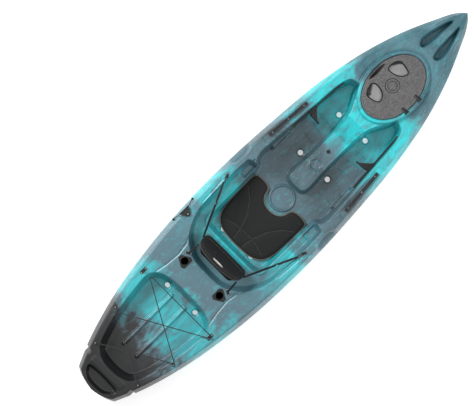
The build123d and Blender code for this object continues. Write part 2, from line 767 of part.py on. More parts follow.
inside = rail_thickness / 2 + slack
outside = inside + pedal_plate
jaw = rail_height / 2 + slack
with BuildPart() as pedal:
    carriage = Plane(
        origin=rail_plane.from_local_coords((pedal_rest - pedal_length / 2, 0, 0)),
        x_dir=rail_plane.y_dir,
        z_dir=rail_plane.x_dir,
    )
    with BuildSketch(carriage):
        Polygon(
            (inside + pedal_jaw, jaw + pedal_plate),
            (-outside, jaw + pedal_plate),
            (-outside, -jaw - pedal_plate),
            (inside + pedal_jaw, -jaw - pedal_plate),
            (inside + pedal_jaw, -jaw + pedal_jaw),
            (inside, -jaw + pedal_jaw),
            (inside, -jaw),
            (-inside, -jaw),
            (-inside, jaw),
            (inside, jaw),
            (inside, jaw - pedal_jaw),
            (inside + pedal_jaw, jaw - pedal_jaw),
            align=None,
        )
    extrude(amount=pedal_length)
    # the plate that the foot pushes, and its two gussets
    with BuildSketch(carriage):
        with Locations((-outside - pedal_reach / 2, -pedal_drop / 2 + jaw / 2)):
            RectangleRounded(pedal_reach + 2, pedal_drop + jaw, 12)
    extrude(amount=pedal_plate)
    for height in (jaw - pedal_plate, -jaw - pedal_plate):
        with BuildSketch(rail_plane.offset(height)):
            with BuildLine():
                start = pedal_rest - pedal_length / 2 + pedal_plate / 2
                Polyline(
                    (start, -outside + 1),
                    (start, -outside - pedal_reach + 14),
                    (start + pedal_length - 10, -outside + 1),
                    close=True,
                )
            make_face()
        extrude(amount=pedal_plate)
export_sides(pedal.part, "foot_pedal")

# --- rod holders ---------------------------------------------------------------------------------
with BuildPart() as rod_holder:
    with BuildSketch(rod_plane.offset(-rod_depth)):
        Circle(rod_bore_radius + rod_wall)
    extrude(amount=rod_depth + rod_bore_radius)
    with BuildSketch(deck_plane.offset(rod_flange)):
        Rectangle(hull_length * 2, hull_beam * 2)
    extrude(amount=100, mode=Mode.SUBTRACT)
    with BuildSketch(deck_plane):
        with BuildLine():
            reach = rod_flange_radius + 14
            corners = [
                (along(-685) + reach * cos(radians(a)), across(155) + reach * sin(radians(a)))
                for a in (75, 105, 195, 225, 315, 345)
            ]
            FilletPolyline(*corners, radius=8, close=True)
        make_face()
    extrude(amount=rod_flange)
    with BuildSketch(rod_plane.offset(rod_wall - rod_depth)):
        Circle(rod_bore_radius)
    extrude(amount=rod_depth + 2 * rod_bore_radius, mode=Mode.SUBTRACT)
    add(screw_holes(deck_plane, rod_screw_places), mode=Mode.SUBTRACT)
export_sides(rod_holder.part, "rod_holder")
export(both(screws(deck_plane, rod_screw_places, rod_flange)), "rod_holder_screws")

# --- seat ----------------------------------------------------------------------------------------
pad_outline = scaled([(-384, 175), (-330, 231), (-60, 231), (20, 222), (32, 170), (24, 100), (-30, 92)])
with BuildPart() as pad:
    with BuildSketch(UP.offset(floor_z + slack)):
        with BuildLine():
            FilletPolyline(*both_sides(pad_outline), radius=14, close=True)
        make_face()
        with Locations((along(16), 0)):
            Circle(pad_cutout, mode=Mode.SUBTRACT)
    extrude(amount=pad_thickness)
export(pad.part, "seat_pad")
rivet_places = port_and_starboard(scaled([(2, 130), (-4, 200), (-293, 50)]))
export(
    upright(rivet_radius, floor_z + slack + pad_thickness, floor_z + slack + pad_thickness + rivet_height, rivet_places),
    "seat_pad_rivets",
)


def back_sketch(plane, low, width, height):
    """The backrest's outline, straight below and round above."""
    with BuildSketch(plane) as outline:
        with BuildLine():
            FilletPolyline(
                (-width / 2 + 12, low),
                (width / 2 - 12, low),
                (width / 2, low + height * 0.55),
                (width * 0.36, low + height),
                (-width * 0.36, low + height),
                (-width / 2, low + height * 0.55),
                radius=22,
                close=True,
            )
        make_face()
    return outline.sketch


with BuildPart() as panel:
    add(extrude(back_sketch(back_plane, knuckle_radius, backrest_width - 10, backrest_height - 5), panel_thickness))
    for y in (-110, 0, 110):
        with BuildSketch(Plane.XZ.offset(-y - knuckle_length / 2)):
            with Locations((back_x, pivot_z)):
                Circle(knuckle_radius)
        extrude(amount=knuckle_length)
        with BuildSketch(back_plane):
            with Locations((y, knuckle_radius)):
                Rectangle(knuckle_length, knuckle_radius * 1.6)
        extrude(amount=panel_thickness)
    with BuildSketch(Plane.XZ.offset(-backrest_width)):
        with Locations((back_x, pivot_z)):
            Circle(hinge_rod_radius + running)
    extrude(amount=2 * backrest_width, mode=Mode.SUBTRACT)
export(panel.part, "seat_back_panel")

with BuildPart() as cushion:
    front = back_plane.offset(panel_thickness + slack)
    cushion_thickness = backrest_thickness - panel_thickness - slack
    add(extrude(back_sketch(front, knuckle_radius + 8, backrest_width, backrest_height - 8), cushion_thickness))
export(cushion.part, "seat_back_cushion")

bracket_places = [-165, -55, 55, 165]
with BuildPart() as brackets:
    for y in bracket_places:
        with BuildSketch(Plane.XZ.offset(-y - bracket_width / 2)):
            with Locations((back_x, pivot_z)):
                Circle(knuckle_radius)
            with Locations((back_x, (shelf_z + pivot_z) / 2)):
                Rectangle(2 * knuckle_radius, hinge_rod_lift)
            with Locations((back_x - bracket_foot / 2, shelf_z + base_thickness / 2)):
                Rectangle(bracket_foot, base_thickness)
            with Locations((back_x, pivot_z)):
                Circle(hinge_rod_radius, mode=Mode.SUBTRACT)
        extrude(amount=bracket_width)
export(brackets.part, "seat_hinge_brackets")
with BuildPart() as rod:
    with BuildSketch(Plane.XZ.offset(-bracket_places[-1] - bracket_width)):
        with Locations((back_x, pivot_z)):
            Circle(hinge_rod_radius)
    extrude(amount=2 * (bracket_places[-1] + bracket_width))
export(rod.part, "seat_hinge_rod")

# --- seat straps ---------------------------------------------------------------------------------
strap_z = deck_z + strap_lift


def band(start, end, thickness=strap_thickness, height=strap_height):
    """A flat strap on edge between two points of its middle line."""
    start, end = Vector(*start), Vector(*end)
    run = end - start
    level = Vector(-run.Y, run.X, 0).normalized()
    with BuildPart() as strip:
        with BuildSketch(Plane(origin=tuple(start), x_dir=tuple(level), z_dir=tuple(run.normalized()))):
            Rectangle(thickness, height)
        extrude(amount=run.length)
    return strip.part


side_y = backrest_width / 2 + slack + strap_thickness / 2
front_z = strap_z + strap_height / 2
front_low = (back_x - (front_z - pivot_z) * tan(lean) + 10, side_y + 2, front_z)
hook_back = eye_radius - eye_wire - eye_lean - snap_wire - 2 * slack + 2 * snap_ring
hook_point = (
    front_eye[0] - hook_back * cos(radians(front_eye_turn)),
    front_eye[1] - hook_back * sin(radians(front_eye_turn)),
)
buckle_middle = (along(-290), across(281))
run = Vector(hook_point[0] - front_low[0], hook_point[1] - front_low[1], 0).normalized()
reach = (buckle_middle[0] - front_low[0]) / run.X
buckle_at = Vector(*front_low) + run * reach
buckle_near, buckle_far = buckle_at - run * buckle_length / 2, buckle_at + run * buckle_length / 2
hook_start = Vector(*hook_point, front_z) - run * hook_length
hook_z = deck_z + base_thickness + 5.8  # half way up inside the pad eye, over its screws
front_strap = band(front_low, tuple(buckle_near - run * slack))
front_tail = band(tuple(buckle_far + run * slack), tuple(hook_start - run * slack))
with BuildPart() as front_strap_pair:
    add(front_strap)
    add(front_tail)
export_sides(front_strap_pair.part, "front_strap")
export(both(band(tuple(buckle_near), tuple(buckle_far), 8, strap_height + 8)), "strap_buckles")

rear_top = (back_x - rear_strap_rise * tan(lean) + 8, side_y + 1, pivot_z + rear_strap_rise)
rear_foot = (rear_eye[0], side_y + 1, deck_z + base_thickness + eye_radius + eye_wire + strap_lift)
export_sides(band(rear_top, rear_foot), "rear_strap")


def pad_eye(place, turn):
    """A base plate with a half ring standing on it."""
    plane = Plane(
        origin=(*place, deck_z), x_dir=(cos(radians(turn)), sin(radians(turn)), 0), z_dir=(0, 0, 1)
    )
    with BuildPart() as eye:
        with BuildSketch(plane):
            SlotOverall(eye_spread + 26, 14)
        extrude(amount=base_thickness)
        upper = Plane(origin=plane.from_local_coords((0, 0, base_thickness - 0.5)), x_dir=plane.x_dir, z_dir=-plane.y_dir)
        with BuildLine(upper) as arch:
            CenterArc((0, 0), eye_radius, 0, 180)
        with BuildSketch(Plane(origin=arch.line @ 0, z_dir=arch.line % 0)):
            Circle(eye_wire)
        sweep(path=arch.line)
        with BuildSketch(UP.offset(deck_z - 30)):
            Rectangle(hull_length * 2, hull_beam * 2)
        extrude(amount=30, mode=Mode.SUBTRACT)
        add(screw_holes(deck_plane, eye_screws(place, turn)), mode=Mode.SUBTRACT)
    return eye.part


export(both(pad_eye(front_eye, front_eye_turn)), "front_pad_eyes")
export(both(pad_eye(rear_eye, rear_eye_turn)), "rear_pad_eyes")
export(both(screws(deck_plane, eye_screw_places, base_thickness)), "pad_eye_screws")

# a snap hook is a short shank with a ring that passes through the pad eye
with BuildPart() as snap_hook:
    add(band((hook_start.X, hook_start.Y, hook_z), (*hook_point, hook_z), 6, 4.5))
    ring_middle = Vector(*hook_point, hook_z) + run * snap_ring
    ring = Plane(origin=tuple(ring_middle), x_dir=tuple(run), z_dir=(0, 0, 1))
    with BuildLine(ring) as loop:
        CenterArc((0, 0), snap_ring, 0, 360)
    with BuildSketch(Plane(origin=loop.line @ 0, z_dir=loop.line % 0)):
        Circle(snap_wire)
    sweep(path=loop.line)
export(both(snap_hook.part), "snap_hooks")

# --- tankwell cord and its posts -----------------------------------------------------------------
low_cord_z = deck_z + base_thickness + cord_radius + 1
high_cord_z = low_cord_z + 2 * cord_radius + 1
for name, base in (("front", None), ("middle", 11), ("aft", 11)):
    place = post_places[name]
    with BuildPart() as post:
        with BuildSketch(deck_plane):
            with Locations(place):
                if base is None:
                    RectangleRounded(front_base + 24, front_base * 0.8, 6)
                else:
                    Circle(base)
        extrude(amount=base_thickness)
        with BuildSketch(deck_plane):
            with Locations(place):
                Circle(post_radius)
        extrude(amount=post_height)
        with BuildSketch(deck_plane.offset(post_height)):
            with Locations(place):
                Circle(post_radius + post_cap)
        extrude(amount=post_cap)
        if base is None:
            add(screw_holes(deck_plane, front_screw_places), mode=Mode.SUBTRACT)
        else:
            with BuildSketch(deck_plane.offset(-1)):
                with Locations(place):
                    Circle(screw_hole)
            extrude(amount=2 * post_height, mode=Mode.SUBTRACT)
    export(both(post.part), f"{name}_bungee_posts")
export(both(screws(deck_plane, front_screw_places, base_thickness)), "front_post_screws")
with BuildPart() as post_bolts:
    with BuildSketch(deck_plane.offset(-2 * wall)):
        with Locations(*post_screws):
            Circle(screw_radius)
    extrude(amount=2 * wall + post_height + post_cap)
    with BuildSketch(deck_plane.offset(post_height + post_cap)):
        with Locations(*post_screws):
            Circle(screw_head)
    extrude(amount=screw_head_height)
export(both(post_bolts.part), "bungee_post_bolts")

wrap = post_radius + slack + cord_radius
cord_stops = [
    (post_places["aft"][0], post_places["aft"][1], 0),
    (post_places["middle"][0], -post_places["middle"][1], 1),
    (post_places["front"][0], post_places["front"][1], 1),
    (post_places["front"][0], -post_places["front"][1], 1),
    (post_places["middle"][0], post_places["middle"][1], 1),
    (post_places["aft"][0], -post_places["aft"][1], 0),
]
turn_sides = [0, 1, -1, -1, 1, 0]  # 1 where the cord turns left round a post, -1 where it turns right
cord_levels = [low_cord_z, low_cord_z, low_cord_z, high_cord_z, high_cord_z, high_cord_z]


def tangent_line(a, side_a, b, side_b):
    """Two points of the straight run from one post to the next; side 1 leaves the post on the left of the run."""
    (ax, ay), (bx, by) = a, b
    dx, dy = bx - ax, by - ay
    size = sqrt(dx * dx + dy * dy)
    offset_angle = atan2((side_b - side_a) * wrap, size)
    heading = atan2(dy, dx) + offset_angle
    nx, ny = sin(heading), -cos(heading)
    return (ax + nx * wrap * side_a, ay + ny * wrap * side_a), (cos(heading), sin(heading))


def crossing(first, second):
    (px, py), (ux, uy) = first
    (qx, qy), (vx, vy) = second
    t = ((qx - px) * vy - (qy - py) * vx) / (ux * vy - uy * vx)
    return px + t * ux, py + t * uy


lines = []
for i in range(len(cord_stops) - 1):
    a, b = cord_stops[i][:2], cord_stops[i + 1][:2]
    lines.append(tangent_line(a, turn_sides[i], b, turn_sides[i + 1]))
corner_points = [crossing(lines[i], lines[i + 1]) for i in range(len(lines) - 1)]
stand_off = post_radius + slack
first_dir, last_dir = lines[0][1], lines[-1][1]
cord_route = [(cord_stops[0][0] + first_dir[0] * stand_off, cord_stops[0][1] + first_dir[1] * stand_off, cord_levels[0])]
cord_route += [(x, y, z) for (x, y), z in zip(corner_points, cord_levels[1:-1])]
cord_route += [
    (cord_stops[-1][0] - last_dir[0] * stand_off, cord_stops[-1][1] - last_dir[1] * stand_off, cord_levels[-1])
]


def cord(route, radius, name):
    """A cord of straight runs joined by tangent arcs."""
    with BuildPart() as tube:
        with BuildLine() as path:
            line = FilletPolyline(*route, radius=radius)
        with BuildSketch(Plane(origin=line @ 0, z_dir=line % 0)):
            Circle(cord_radius)
        sweep(path=line)
    expected = pi * cord_radius**2 * line.length
    print(name, "length", round(line.length, 1), "volume ratio", round(tube.part.volume / expected, 4))
    export(tube.part, name)


cord(cord_route, wrap, "tankwell_bungee")

# --- paddle keeper -------------------------------------------------------------------------------
with BuildPart() as knob:
    with BuildSketch(deck_plane):
        with Locations(knob_place):
            Circle(knob_base)
    extrude(amount=base_thickness)
    with BuildSketch(deck_plane):
        with Locations(knob_place):
            Circle(post_radius)
    extrude(amount=knob_height)
    with BuildSketch(deck_plane.offset(knob_height)):
        with Locations(knob_place):
            Circle(post_radius + post_cap)
    extrude(amount=post_cap)
    with BuildSketch(deck_plane.offset(-1)):
        with Locations(knob_place):
            Circle(screw_hole)
    extrude(amount=2 * knob_height, mode=Mode.SUBTRACT)
export(knob.part, "paddle_keeper_knob")
with BuildPart() as knob_bolt:
    with BuildSketch(deck_plane.offset(-2 * wall)):
        with Locations(knob_place):
            Circle(screw_radius)
    extrude(amount=2 * wall + knob_height + post_cap)
    with BuildSketch(deck_plane.offset(knob_height + post_cap)):
        with Locations(knob_place):
            Circle(screw_head)
    extrude(amount=screw_head_height)
export(knob_bolt.part, "paddle_keeper_bolt")

keeper_z = deck_z + 8
keeper_line_y = across(385)
hook_half = 38.0
with BuildPart() as hook:
    with BuildSketch(UP.offset(keeper_z - hook_thickness / 2)):
        with BuildLine():
            FilletPolyline(
                (knob_place[0] - hook_half, keeper_line_y),
                (knob_place[0] + hook_half, keeper_line_y),
                (knob_place[0] + 11, knob_place[1] - 12),
                (knob_place[0] - 11, knob_place[1] - 12),
                radius=8,
                close=True,
            )
        make_face()
        with Locations(knob_place):
            Circle(post_radius + slack, mode=Mode.SUBTRACT)
    extrude(amount=hook_thickness)
    with BuildSketch(Plane.YZ.offset(knob_place[0] - hook_half)):
        with Locations((keeper_line_y, keeper_z)):
            Circle(cord_radius + 3)
    extrude(amount=2 * hook_half)
    with BuildSketch(Plane.YZ.offset(knob_place[0] - 2 * hook_half)):
        with Locations((keeper_line_y, keeper_z)):
            Circle(cord_radius + slack)
    extrude(amount=4 * hook_half, mode=Mode.SUBTRACT)
export(hook.part, "paddle_keeper_hook")

with BuildPart() as anchors:
    for plane in anchor_planes:
        with BuildSketch(plane):
            Circle(anchor_radius)
        extrude(amount=base_thickness)
        with Locations(plane.offset(anchor_height)):
            Sphere(ball_radius)
        with BuildSketch(plane):
            Circle(post_radius * 0.7)
        extrude(amount=anchor_height)
export(anchors.part, "paddle_keeper_anchors")
ball_points = [plane.offset(anchor_height).origin for plane in anchor_planes]
bend_points = [
    Vector(knob_place[0] - hook_half - 6, keeper_line_y, keeper_z),
    Vector(knob_place[0] + hook_half + 6, keeper_line_y, keeper_z),
]
keeper_route = []
for ball, bend in zip(ball_points, bend_points):
    away = (bend - ball).normalized()
    keeper_route.append(ball + away * (ball_radius + slack))
keeper_route = [keeper_route[0], *bend_points, keeper_route[1]]
cord([tuple(p) for p in keeper_route], 8, "paddle_keeper_cord")

# --- plugs ---------------------------------------------------------------------------------------
seal_height = 1.5
with BuildPart() as seal:
    with BuildSketch(deck_plane):
        with Locations(plug_place):
            Circle(plug_head)
            Circle(plug_radius + slack, mode=Mode.SUBTRACT)
    extrude(amount=seal_height)
export(seal.part, "drain_plug_seal")
with BuildPart() as plug:
    with BuildSketch(deck_plane.offset(-plug_length)):
        with Locations(plug_place):
            Circle(plug_radius)
    extrude(amount=plug_length + seal_height + slack)
    with BuildSketch(deck_plane.offset(seal_height + slack)):
        with Locations(plug_place):
            Circle(plug_head)
    extrude(amount=3)
    with BuildSketch(deck_plane.offset(seal_height + slack + 3)):
        with Locations(plug_place):
            Rectangle(plug_head * 1.6, 3)
    extrude(amount=3)
export(plug.part, "drain_plug")
with BuildPart() as button:
    with BuildSketch(UP.offset(console_z - 2 * wall)):
        with Locations(console_plug_place):
            Circle(button_stem)
    extrude(amount=2 * wall)
    with BuildSketch(UP.offset(console_z)):
        with Locations(console_plug_place):
            Circle(button_stem + 4)
    extrude(amount=3)
export(button.part, "console_plug")
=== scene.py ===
import math

import bmesh
import bpy
import numpy as np
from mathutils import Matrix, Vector
from mathutils.geometry import delaunay_2d_cdt


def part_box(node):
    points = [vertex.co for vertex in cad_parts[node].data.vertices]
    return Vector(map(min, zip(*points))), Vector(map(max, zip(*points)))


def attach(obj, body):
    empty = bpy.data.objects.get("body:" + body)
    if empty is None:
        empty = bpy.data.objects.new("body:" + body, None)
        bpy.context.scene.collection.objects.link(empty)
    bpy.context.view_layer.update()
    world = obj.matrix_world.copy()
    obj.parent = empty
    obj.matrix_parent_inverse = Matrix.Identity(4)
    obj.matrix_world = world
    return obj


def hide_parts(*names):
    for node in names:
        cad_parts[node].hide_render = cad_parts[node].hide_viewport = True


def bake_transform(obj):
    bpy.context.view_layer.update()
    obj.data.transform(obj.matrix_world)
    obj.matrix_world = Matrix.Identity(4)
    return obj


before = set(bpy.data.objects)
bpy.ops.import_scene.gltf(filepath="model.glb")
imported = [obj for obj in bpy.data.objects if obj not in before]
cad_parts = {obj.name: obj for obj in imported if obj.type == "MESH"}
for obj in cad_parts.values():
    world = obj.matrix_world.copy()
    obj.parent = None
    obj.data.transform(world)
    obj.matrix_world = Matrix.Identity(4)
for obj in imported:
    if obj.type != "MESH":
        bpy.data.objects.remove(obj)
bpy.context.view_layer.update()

# Lengths in the hull's outlines are millimetres, as in the part's drawings; meshes are made in metres.
MM = 0.001


def top_of(node):
    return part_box(node)[1].z / MM


def base_of(node):
    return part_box(node)[0].z / MM


deck_z = base_of("front_bungee_posts")
floor_z = base_of("seat_pad") - 0.3
shelf_z = base_of("seat_hinge_brackets")
track_z = base_of("gear_track_port")
console_z = base_of("console_plug") + 10
ledge_z = base_of("hatch_gasket")
coaming_z = top_of("hatch_cover") - 12.5
tankwell_z = 160.0
hull_nodes = [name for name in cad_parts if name.startswith("hull_")]
hull_low = Vector(min(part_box(n)[0][i] for n in hull_nodes) for i in range(3))
hull_high = Vector(max(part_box(n)[1][i] for n in hull_nodes) for i in range(3))
half_length = hull_high.x / MM
bow_top = hull_high.z / MM
rod_x, rod_y = -685, 155  # where a rod holder meets the deck, the same on both sides


# --- curves and distances ------------------------------------------------------------------------
def smooth(t):
    t = np.clip(t, 0.0, 1.0)
    return t * t * (3.0 - 2.0 * t)


def through(xs, ys, x):
    """A smooth curve through the points (xs, ys), read at x."""
    xs, ys = np.asarray(xs, float), np.asarray(ys, float)
    slope = np.gradient(ys, xs)
    x = np.clip(x, xs[0], xs[-1])
    i = np.clip(np.searchsorted(xs, x) - 1, 0, len(xs) - 2)
    h = xs[i + 1] - xs[i]
    t = (x - xs[i]) / h
    a = (1 + 2 * t) * (1 - t) ** 2 * ys[i] + t * (1 - t) ** 2 * h * slope[i]
    return a + t * t * (3 - 2 * t) * ys[i + 1] + t * t * (t - 1) * h * slope[i + 1]


def rounded(points, cuts=3):
    """A closed outline with its corners cut smooth."""
    p = np.asarray(points, float)
    for _ in range(cuts):
        q = np.roll(p, -1, axis=0)
        p = np.stack([p * 0.75 + q * 0.25, p * 0.25 + q * 0.75], 1).reshape(-1, 2)
    return p


def both_sides(points):
    return list(points) + [(x, -y) for x, y in reversed(points)]


def line_distance(points, x, y, closed=False):
    """Distance from each (x, y) to a line of points."""
    p = np.asarray(points, float)
    ends = np.roll(p, -1, axis=0) if closed else p[1:]
    starts = p if closed else p[:-1]
    best = np.full(x.shape, 1e9)
    for (ax, ay), (bx, by) in zip(starts, ends):
        dx, dy = bx - ax, by - ay
        t = np.clip(((x - ax) * dx + (y - ay) * dy) / max(dx * dx + dy * dy, 1e-9), 0, 1)
        best = np.minimum(best, (x - ax - t * dx) ** 2 + (y - ay - t * dy) ** 2)
    return np.sqrt(best)


def depth_inside(outline, x, y, reach=60.0):
    """How far each (x, y) lies inside a closed outline; negative outside it."""
    result = np.full(x.shape, -reach)
    low, high = outline.min(0) - reach, outline.max(0) + reach
    near = (x > low[0]) & (x < high[0]) & (y > low[1]) & (y < high[1])
    px, py = x[near], y[near]
    distance = line_distance(outline, px, py, closed=True)
    odd = np.zeros(px.shape, bool)
    for (ax, ay), (bx, by) in zip(outline, np.roll(outline, -1, axis=0)):
        if ay == by:
            continue
        odd ^= ((ay > py) != (by > py)) & (px < (bx - ax) * (py - ay) / (by - ay) + ax)
    result[near] = np.where(odd, distance, -np.minimum(distance, reach))
    return result


def ellipse_depth(cx, a, b, x, y):
    r = np.sqrt(((x - cx) / a) ** 2 + (y / b) ** 2)
    return (1 - r) * 0.5 * (a + b)


def sink(z, depth, floor, lip, run):
    """Sinks the surface to a floor, with a rounded lip outside the outline and a draft inside it."""
    return z + (np.minimum(floor, z) - z) * smooth((depth + lip) / (lip + run))


# --- hull lines ----------------------------------------------------------------------------------
# x, half beam, half width at the deck, keel height, height of the widest line
stations = np.array([
    (-1675, 140, 118, 150, 236), (-1500, 218, 192, 70, 226), (-1200, 310, 282, 18, 216),
    (-800, 379, 350, -4, 212), (-250, 413, 383, -6, 212), (300, 393, 363, -6, 214),
    (800, 341, 308, -3, 226), (1100, 275, 243, 12, 246), (1350, 189, 158, 45, 274),
    (1500, 120, 92, 92, 300), (1620, 58, 38, 175, 325), (1675, 16, 10, 255, 345),
], float)
rise_from = 900.0
bow_rise = bow_top - deck_z


def deck_height(x):
    return deck_z + bow_rise * np.maximum(0, (x - rise_from) / (half_length - rise_from)) ** 2


def end_taper(x):
    """Rounds the stern in plan and the nose of the bow."""
    stern = np.clip((-1556 - x) / 119.5, 0, 1)
    nose = np.clip((x - 1650) / 25.5, 0, 1)
    return np.sqrt(1 - stern**2.1) * np.sqrt(1 - nose**2)


def shaped(free, x):
    taper = end_taper(x)
    return np.where(x < -1500, np.minimum(free, 203 * taper), free * taper)


def half_deck(x):
    tumble = through(stations[:, 0], stations[:, 1] - stations[:, 2], x)
    beam = shaped(through(stations[:, 0], stations[:, 1], x), x)
    return np.maximum(beam - tumble, 0.55 * beam)


def keel_height(x):
    return through(stations[:, 0], stations[:, 3], x)


def widest_height(x):
    return through(stations[:, 0], stations[:, 4], x)


# --- outlines of the wells -----------------------------------------------------------------------
footwell_line = rounded(both_sides([
    (-425, 150), (-418, 215), (-378, 245), (-200, 247), (62, 248), (92, 290), (150, 301), (215, 296),
    (365, 286), (600, 269.5), (850, 251.6), (893, 185)]), 3)
shelf_line = rounded(both_sides([
    (-638, 70), (-632, 120), (-606, 176), (-552, 250), (-440, 308), (-345, 326), (-150, 327), (0, 326),
    (84, 320)]), 3)
console_line = rounded(both_sides([
    (143, 30), (150, 62), (185, 79), (300, 73), (450, 67), (700, 75), (770, 110), (850, 158),
    (990, 178)]), 3)
tankwell_line = rounded(both_sides([
    (-822, 120), (-846, 212), (-905, 266), (-1040, 252), (-1180, 236), (-1425, 172), (-1496, 100)]), 3)
stern_line = rounded(both_sides([(-1562, 118), (-1592, 122), (-1634, 84), (-1648, 40)]), 3)
bow_line = rounded([(1335, 30), (1325, 70), (1360, 92), (1440, 84), (1560, 44), (1580, 27), (1560, 24)], 3)
side_line = rounded([(-50, 358), (135, 354), (135, 440), (-50, 440)], 3)
rear_crease = [(-870, 240), (-780, 222), (-680, 213), (-600, 225), (-470, 287), (-340, 338), (-150, 350)]
flank_crease = [(930, 268), (1100, 226), (1250, 176), (1400, 122), (1600, 62)]
scuppers = [(325, 122), (672, 118), (-370, 125), (-878, 125)]
hatch_x = (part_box("hatch_gasket")[0].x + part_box("hatch_gasket")[1].x) / 2 / MM
hatch_a = (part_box("hatch_gasket")[1].x / MM - hatch_x)
hatch_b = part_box("hatch_gasket")[1].y / MM
track_middle = (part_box("gear_track_port")[0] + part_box("gear_track_port")[1]) / 2 / MM


def bare_deck(x, w):
    """The deck's own height: its crown, its rounded edge, the bow's flanks and the crease by the cockpit."""
    z = deck_height(x)
    z = z - 6 * (1 - smooth((half_deck(x) - w) / 12)) ** 2
    ridge = np.interp(x, [p[0] for p in flank_crease], [p[1] for p in flank_crease])
    flank = smooth((x - 930) / 120) * smooth((1660 - x) / 60)
    z = z - 7 * flank * smooth((w - ridge + 4) / 9)
    crease = line_distance(rear_crease, x, w)
    return z - 4.5 * np.exp(-((crease / 5.5) ** 2))


def side_pockets(z, x, y, w):
    """The side handles, the pocket round the paddle keeper and the gear track pockets."""
    z = sink(z, depth_inside(side_line, x, w), deck_z - 44, 3, 12)
    keeper = smooth((36 - np.hypot((x + 460) / 1.1, y - 366)) / 6) * smooth((y - 322) / 5)
    seat_left = smooth((np.hypot(x + 460, y - 350) - 15) / 5)
    z = z - 3.5 * keeper * seat_left
    angle = math.atan2(-26, 315)
    u = (x - track_middle.x) * math.cos(angle) + (w - track_middle.y) * math.sin(angle)
    v = -(x - track_middle.x) * math.sin(angle) + (w - track_middle.y) * math.cos(angle)
    return sink(z, np.minimum(200 - np.abs(u), 21 - np.abs(v)), track_z, 5, 2)


def cockpit(z, x, y, w):
    """The shelf with its lip and its small pockets, and the footwells' floor."""
    z = sink(z, depth_inside(shelf_line, x, y), shelf_z, 9, 24)
    lip = np.exp(-(((depth_inside(footwell_line, x, y) + 14) / 9) ** 2)) * smooth((-330 - x) / 60)
    z = z + 5 * lip * (z < deck_z - 60)
    inner_pocket = smooth((88 - np.abs(x - 42)) / 8) * smooth((22 - np.abs(w - 281)) / 6) * (x < 84)
    z = z - 12 * inner_pocket
    ledge = smooth((95 - np.abs(x - 300)) / 22)
    z = sink(z, depth_inside(footwell_line, x, y), floor_z, 6, 24)
    by_the_side = (w > 240) & (x > 150) & (x < 410)
    return np.maximum(z, np.where(by_the_side, floor_z + 62 * ledge * smooth((w - 256) / 10), 0))


def console(z, x, y):
    """The console between the footwells, with a groove inside its edge."""
    raised = np.interp(x, [0, 560, 700, 780], [console_z, console_z, deck_z, deck_z])
    inside = depth_inside(console_line, x, y)
    top = floor_z + (raised - floor_z) * smooth((inside + 16) / 25)
    z = np.where(inside > -16, np.maximum(z, np.minimum(top, deck_height(x))), z)
    groove = np.exp(-(((inside - 17) / 3.5) ** 2)) * smooth((620 - x) / 60)
    return z - 3 * groove


def rings_and_ridges(z, x, y, w):
    """The rings in front of the seat and on the console, and the heel ridges on the floor."""
    r = np.hypot(x - 35, y)
    z = z + 12 * smooth((r - 72) / 6) * smooth((90 - r) / 6)
    r = np.hypot(x - 335, y)
    ring = smooth((r - 34) / 3) * smooth((44 - r) / 3)
    notch = 1 - smooth((12 - np.abs(x - 335)) / 4) * (w > 34)
    z = z + 4 * ring * notch - 5 * smooth((34 - r) / 3)
    for heel in (420, 500, 580):
        run = np.abs(x - heel - 0.2 * (w - 150))
        z = z + 2.5 * np.exp(-((run / 5) ** 2)) * smooth((w - 105) / 20) * smooth((215 - w) / 20)
    return z


def ends(z, x, y, w):
    """The tankwell with its two round ribs, the stern pocket with its grip ridge, and the bow recesses."""
    z = sink(z, depth_inside(tankwell_line, x, y), tankwell_z, 8, 34)
    rib = np.hypot(np.maximum(np.abs(x + 1118) - 216, 0), w - 58)
    z = z + 12 * np.sqrt(np.clip(1 - (rib / 12) ** 2, 0, 1))
    grip = smooth((30 - np.abs(x + 1528)) / 12) * smooth((142 - w) / 20)
    z = z + 3 * grip
    z = sink(z, depth_inside(stern_line, x, y), deck_z - 44, 7, 14)
    return sink(z, depth_inside(bow_line, x, w), deck_height(1325) - 47, 6, 15)


def hatch_opening(z, x, y):
    """The hatch's coaming, the ledge its gasket lies on and the opening."""
    outer = ellipse_depth(hatch_x, hatch_a + 24.5, hatch_b + 24.5, x, y)
    z = z + (np.maximum(coaming_z, z) - z) * smooth((outer + 8) / 10)
    z = z - 3 * np.exp(-(((outer + 12) / 4) ** 2)) * (x > 860)
    inner = ellipse_depth(hatch_x, hatch_a + 4, hatch_b + 4, x, y)
    z = z + (ledge_z - z) * smooth((inner + 2) / 5)
    hole = ellipse_depth(hatch_x, hatch_a - 22, hatch_b - 22, x, y)
    return z + (60 - z) * smooth((hole + 2) / 7)


def deck_surface(x, y):
    """Height of the deck, with everything that is moulded into it."""
    w = np.abs(y)
    z = bare_deck(x, w)
    z = side_pockets(z, x, y, w)
    z = cockpit(z, x, y, w)
    z = console(z, x, y)
    z = rings_and_ridges(z, x, y, w)
    z = ends(z, x, y, w)
    z = hatch_opening(z, x, y)
    for sx, sy in scuppers:
        r = np.hypot(x - sx, w - sy)
        z = z - 4 * smooth((26 - r) / 3)
        z = np.where(r < 19, np.minimum(z, 14), z)
    return z


